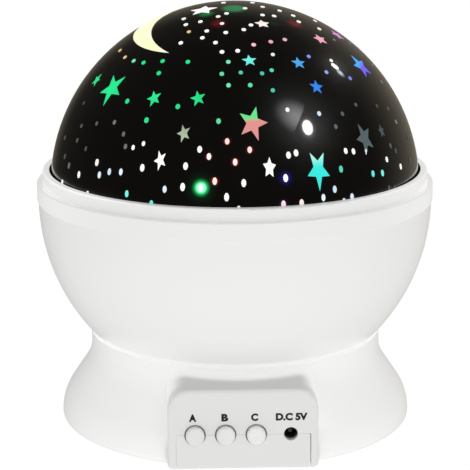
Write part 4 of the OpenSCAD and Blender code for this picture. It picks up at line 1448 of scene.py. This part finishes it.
@dataclass
class Housing:
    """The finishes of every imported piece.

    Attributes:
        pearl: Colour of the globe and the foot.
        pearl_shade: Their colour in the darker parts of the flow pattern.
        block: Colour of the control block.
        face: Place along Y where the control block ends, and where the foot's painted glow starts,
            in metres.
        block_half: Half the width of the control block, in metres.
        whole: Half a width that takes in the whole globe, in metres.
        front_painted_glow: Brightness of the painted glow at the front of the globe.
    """

    pearl: Colour = tone(231, 231, 230)
    pearl_shade: Colour = tone(230, 230, 229)
    block: Colour = tone(234, 234, 233)
    face: tuple[float, float] = (-51.5 * MM, -49.5 * MM)
    block_half: float = 22.8 * MM
    whole: float = 80 * MM
    front_painted_glow: float = 0.1

    def globe_shell(self, glow: float, front: tuple[float, float], **more: object) -> PaintedGlowShell:
        """Gives the finish of a shell of the globe, whose painted glow is weaker at the front.

        Args:
            glow: Brightness of the painted glow.
            front: Place along Y where the front ends, and where the full painted glow starts, in
                metres.
            **more: Other values of the finish.

        Returns:
            The finish.
        """
        return PaintedGlowShell(self.pearl, self.pearl_shade, self.pearl, glow, self.front_painted_glow, front,
                        self.whole, **more)

    def base_shell(self, glow: float, *zones: PaintedShadingZone) -> PaintedGlowShell:
        """Gives the finish of a shell of the base, with a painted glow on its foot and none on its
        control block.

        Args:
            glow: Brightness of the painted glow on the foot.
            *zones: Parts with painted shade or painted light of their own.

        Returns:
            The finish.
        """
        return PaintedGlowShell(self.pearl, self.pearl_shade, self.block, glow, 0.0, self.face,
                        self.block_half, zones)

    def shells(self) -> tuple[tuple[str, str, PaintedGlowShell], ...]:
        """Gives the finishes of the shells with a painted glow.

        Returns:
            For each shell its node, its material's name and its finish.
        """
        # Painted light: more painted glow on the top of the ring's lip, towards its sides.
        lip_painted_light = PaintedShadingZone(self.pearl, 0.44, (
            (Along.HEIGHT, 0.0813, 0.0819), (Along.ASIDE, 0.02, 0.05),
        ))
        # Painted shade: the ring's bore wall is dark, a dark line that stands for the shaded gap to
        # the dome.
        bore_painted_shade = PaintedShadingZone(tone(58, 56, 53), 0.0, ((Along.REACH, 0.0587, 0.0585),))
        # Painted shade: the underside, below about 1 mm, has a darker tone and no painted glow.
        under = PaintedShadingZone(tone(212, 212, 210), 0.0, ((Along.HEIGHT, 0.0011, 0.0009),))
        # Painted shade: the top of the control block, under the bowl, has a darker tone and no
        # painted glow.
        shelf_painted_shade = PaintedShadingZone(tone(211, 211, 210), 0.0, (
            (Along.HEIGHT, 0.0215, 0.0248), (Along.HEIGHT, 0.0302, 0.03),
            (Along.REACH, 0.0467, 0.0505), (Along.ASIDE, 0.0222, 0.0172),
            (Along.AHEAD, -0.0548, -0.0546),
        ))
        ring = self.globe_shell(0.28, (-0.056, -0.012), zones=(lip_painted_light, bore_painted_shade), seam_radius=0.0)
        # Each shell gets a painted glow: an even light of its own that lightens its shade.
        return (
            ("bowl", "lit_bowl", self.globe_shell(0.14, (-0.05, -0.02))),
            ("dome_ring", "lit_ring", ring),
            ("base_shell", "lit_base", self.base_shell(0.2, under, shelf_painted_shade)),
            ("bottom_cover", "lit_cover", self.base_shell(0.19, under)),
        )

    def finishes(self) -> dict[str, Finish]:
        """Gives the finishes of the other pieces.

        Returns:
            The finish of each of the record's material slots.
        """
        satin, gloss = (0.35, 0.5), (0.26, 0.32)
        acetal, acetal_shade = tone(236, 232, 216), tone(226, 221, 203)
        nickel, nickel_shade = tone(214, 214, 216), tone(182, 182, 186)
        return {
            "white_shell": Moulding(self.block, tone(244, 244, 243), gloss, 240.0, 0.004 * MM),
            "foot_pad": Moulding(grey(0.55), grey(0.47), (0.7, 0.85), 1800.0, 0.04 * MM, 0.3),
            "black_part": Moulding(grey(0.02), grey(0.03), satin, 1600.0, 0.01 * MM),
            "gear": Moulding(acetal, acetal_shade, satin, 900.0, 0.008 * MM),
            "screw": Steel(tone(200, 200, 204), tone(166, 167, 172)),
            "contact": Steel(nickel, nickel_shade, (14, 1, 1), (0.1, 0.25)),
            "motor_can": Steel(tone(190, 192, 196), tone(160, 162, 168), (1, 1, 20)),
            "board": CircuitBoard(tone(18, 78, 44), tone(58, 128, 78)),
            "cell": CellJacket(tone(52, 56, 62), tone(178, 122, 66)),
            "lamp_white": Resin(tone(255, 250, 226), 2.0),
            "lamp_red": Resin(tone(240, 40, 30)),
            "lamp_green": Resin(tone(30, 225, 90)),
            "lamp_blue": Resin(tone(40, 70, 245)),
        }

    def build(self) -> None:
        """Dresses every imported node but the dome."""
        made = {slot: finish.material(slot) for slot, finish in self.finishes().items()}
        for part in frame["record"]["subparts"]:
            if part["material_slot"] in made:
                dress(part["node"], made[part["material_slot"]])
        for node, name, finish in self.shells():
            dress(node, finish.material(name))
        LOG.info("dressed %d nodes", len(frame["nodes"]))


# ---------------------------------------------------------------- studio


@dataclass(frozen=True)
class Softbox:
    """A studio lamp.

    Attributes:
        name: Name of the lamp.
        azimuth: Direction from the object, in degrees from the front towards +X.
        elevation: Height of that direction in degrees.
        distance: Distance in metres.
        size: Width and height in metres.
        brightness: Radiance of the screen's brightest part.
        turn: Turn of the screen round its axis, in degrees.
        reach: How far the light fades over the screen, as a share of it, or 0 for an even screen.
        focus: Brightest place of a fading screen, as shares of its width and height.
        square: Whether the screen is a rectangle rather than an ellipse.
        mirrored: Whether glossy surfaces mirror it.
        lights: Whether it lights matte surfaces.
        colour: Colour of the light.
    """

    name: str
    azimuth: float
    elevation: float
    distance: float
    size: tuple[float, float]
    brightness: float
    turn: float = 0.0
    reach: float = 0.0
    focus: Point = (0.5, 0.5)
    square: bool = False
    mirrored: bool = True
    lights: bool = True
    colour: Colour = WHITE

    def energy(self) -> float:
        """Gives the lamp's power in watts."""
        area = self.size[0] * self.size[1] * (1.0 if self.square else math.pi / 4)
        return self.brightness * math.pi * area


@dataclass
class Studio:
    """The floor, the lamps, the surroundings and the camera.

    Attributes:
        camera_at: The camera's place in metres.
        pitch: How far the camera looks down, in radians.
        roll: The camera's roll in radians.
        lens: Focal length in pixels of the square picture.
        picture: Side of the square picture in pixels.
        sensor: Side of the camera's sensor in millimetres.
        clip: Nearest and farthest distance that the camera shows, in metres.
        floor_radius: Radius of the floor in metres.
        floor_glow: Brightness that the floor has of its own.
        aim: Point that the lamps look at, in metres.
        sky: Even light from straight above and from the horizon.
        room: Colour of the room that gloss mirrors.
        back_wall: Brightness of the room and of its lit back wall where gloss mirrors them.
        back_side: Direction of the wall's brightest part.
        back_from: Share of that direction where the wall starts.
        lamps: The lamps.
    """

    camera_at: Vector = field(default_factory=lambda: Vector((-27.2, -649.4, 218.7)) * MM)
    pitch: float = 0.2403
    roll: float = -0.0023
    lens: float = 2096.6
    picture: float = 470.0
    sensor: float = 36.0
    clip: tuple[float, float] = (0.05, 20.0)
    floor_radius: float = 4.0
    floor_glow: float = 0.86
    aim: Vector = field(default_factory=lambda: Vector((0, 0, 0.075)))
    sky: tuple[float, float] = (0.5, 0.74)
    room: Colour = (1, 0.88, 0.7, 1)
    back_wall: tuple[float, float] = (0.04, 0.25)
    back_side: Vector = field(default_factory=lambda: Vector((0.453, 0.855, -0.252)))
    back_from: float = 0.5
    lamps: tuple[Softbox, ...] = (
        Softbox("key_softbox", 55, 38.7, 1.5, (0.165, 0.225), 28.0, -32, lights=False),
        Softbox("key_glow", 55, 38.5, 1.55, (0.32, 0.42), 5.0, -32, reach=0.5, lights=False),
        Softbox("key_fill", 22, 36, 1.5, (0.4, 0.4), 3.8, mirrored=False),
        Softbox("haze_softbox", 39.2, 55.8, 1.66, (0.68, 0.85), 5.5, 44.5, reach=0.52,
                focus=(0.5, 0.06), square=True, lights=False),
        Softbox("rim_softbox", 125, 39.6, 1.5, (0.075, 0.085), 30.0, colour=(1, 0.98, 0.86, 1)),
        Softbox("rim_glow", 121.5, 38, 1.5, (0.13, 0.13), 12.0, reach=0.5, lights=False,
                colour=(0.8, 0.88, 1, 1)),
        Softbox("front_fill", -10, 12, 1.6, (1.2, 1.2), 0.75, mirrored=False),
    )

    def build(self) -> None:
        """Sets up the studio."""
        self.surround()
        self.floor()
        for lamp in self.lamps:
            self.light(lamp)
        self.camera()

    def surround(self) -> None:
        """Makes the surroundings: white to the eye, even light, and a dark room for the gloss."""
        world = bpy.data.worlds.new("studio")
        world.use_nodes = True
        tree = Tree(world.node_tree)
        sight = tree.add("ShaderNodeTexCoord").outputs["Generated"]
        rays = tree.add("ShaderNodeLightPath").outputs
        above, level = self.sky
        height = tree.vector("DOT_PRODUCT", sight, (0, 0, 1))
        even = tree.remap(height, 0.0, 1.0, level, above, soft=False)
        behind = tree.vector("DOT_PRODUCT", sight, self.back_side)
        wall = tree.remap(behind, self.back_from, 1.0, *self.back_wall, soft=False)
        light = tree.value("ShaderNodeBackground", WHITE, even)
        shown = (("Is Glossy Ray", self.room, wall), ("Is Camera Ray", WHITE, 1.0))
        for ray, colour, strength in shown:
            other = tree.value("ShaderNodeBackground", colour, strength)
            light = tree.value("ShaderNodeMixShader", rays[ray], light, other)
        tree.feed(tree.add("ShaderNodeOutputWorld"), light)
        bpy.context.scene.world = world

    def floor(self) -> None:
        """Lays the pale floor."""
        work = bmesh.new()
        bmesh.ops.create_circle(work, cap_ends=True, segments=96, radius=self.floor_radius)
        mesh = bpy.data.meshes.new("floor")
        work.to_mesh(mesh)
        work.free()
        thing = add_object("floor", mesh)
        thing.visible_glossy = False
        tree = ShaderTree("floor")
        tree.set(Base_Color=tree.blend(tree.spread(tree.noise(3.0)), grey(0.25), grey(0.24)),
                 Roughness=0.9, Specular_IOR_Level=0.0, Emission_Color=WHITE,
                 Emission_Strength=self.floor_glow)
        mesh.materials.append(tree.material)

    def light(self, lamp: Softbox) -> None:
        """Hangs one lamp, aimed at the object.

        Args:
            lamp: What the lamp is to be.
        """
        data = bpy.data.lights.new(lamp.name, "AREA")
        data.shape = "RECTANGLE" if lamp.square else "ELLIPSE"
        data.size, data.size_y = lamp.size
        data.energy = lamp.energy()
        data.color = lamp.colour[:3]
        if lamp.reach:
            self.fade(data, lamp)
        thing = add_object(lamp.name, data)
        thing.visible_glossy = lamp.mirrored
        thing.visible_diffuse = lamp.lights
        away = heading(lamp.azimuth, lamp.elevation)
        turn = Matrix.Rotation(math.radians(lamp.turn), 4, "Z")
        turned = away.to_track_quat("Z", "Y").to_matrix().to_4x4() @ turn
        thing.matrix_world = Matrix.Translation(self.aim + away * lamp.distance) @ turned

    def fade(self, data: bpy.types.Light, lamp: Softbox) -> None:
        """Makes a lamp's screen fade away from its brightest place.

        Args:
            data: Blender's lamp.
            lamp: What the lamp is to be.
        """
        data.use_nodes = True
        tree = Tree(data.node_tree)
        place = tree.add("ShaderNodeNewGeometry").outputs["Parametric"]
        far = tree.vector("DISTANCE", place, (*lamp.focus, 0))
        light = tree.value("ShaderNodeEmission", None, tree.remap(far, 0.0, lamp.reach, 1.0, 0.0))
        tree.feed(tree.add("ShaderNodeOutputLight"), light)

    def camera(self) -> None:
        """Sets the camera on its stand, looking at the globe's axis."""
        data = bpy.data.cameras.new("camera")
        data.sensor_width = self.sensor
        data.lens = self.sensor * self.lens / self.picture
        data.clip_start, data.clip_end = self.clip
        thing = add_object("camera", data)
        level = Vector((-self.camera_at.x, -self.camera_at.y, 0)).normalized()
        side = level.cross(Vector((0, 0, 1)))
        ahead = level * math.cos(self.pitch) - Vector((0, 0, math.sin(self.pitch)))
        up = side.cross(ahead)
        right = side * math.cos(self.roll) + up * math.sin(self.roll)
        over = -side * math.sin(self.roll) + up * math.cos(self.roll)
        turn = Matrix((right, over, -ahead)).transposed()
        thing.matrix_world = Matrix.Translation(self.camera_at) @ turn.to_4x4()
        bpy.context.scene.camera = thing
        bpy.context.scene.view_settings.view_transform = "Standard"


def main() -> None:
    """Builds the sub-assemblies in order."""
    logging.basicConfig(level=logging.INFO, format="%(name)s: %(message)s")
    Housing().build()
    Globe().build()
    ControlFace().build()
    Studio().build()


if __name__ == "__main__":
    main()
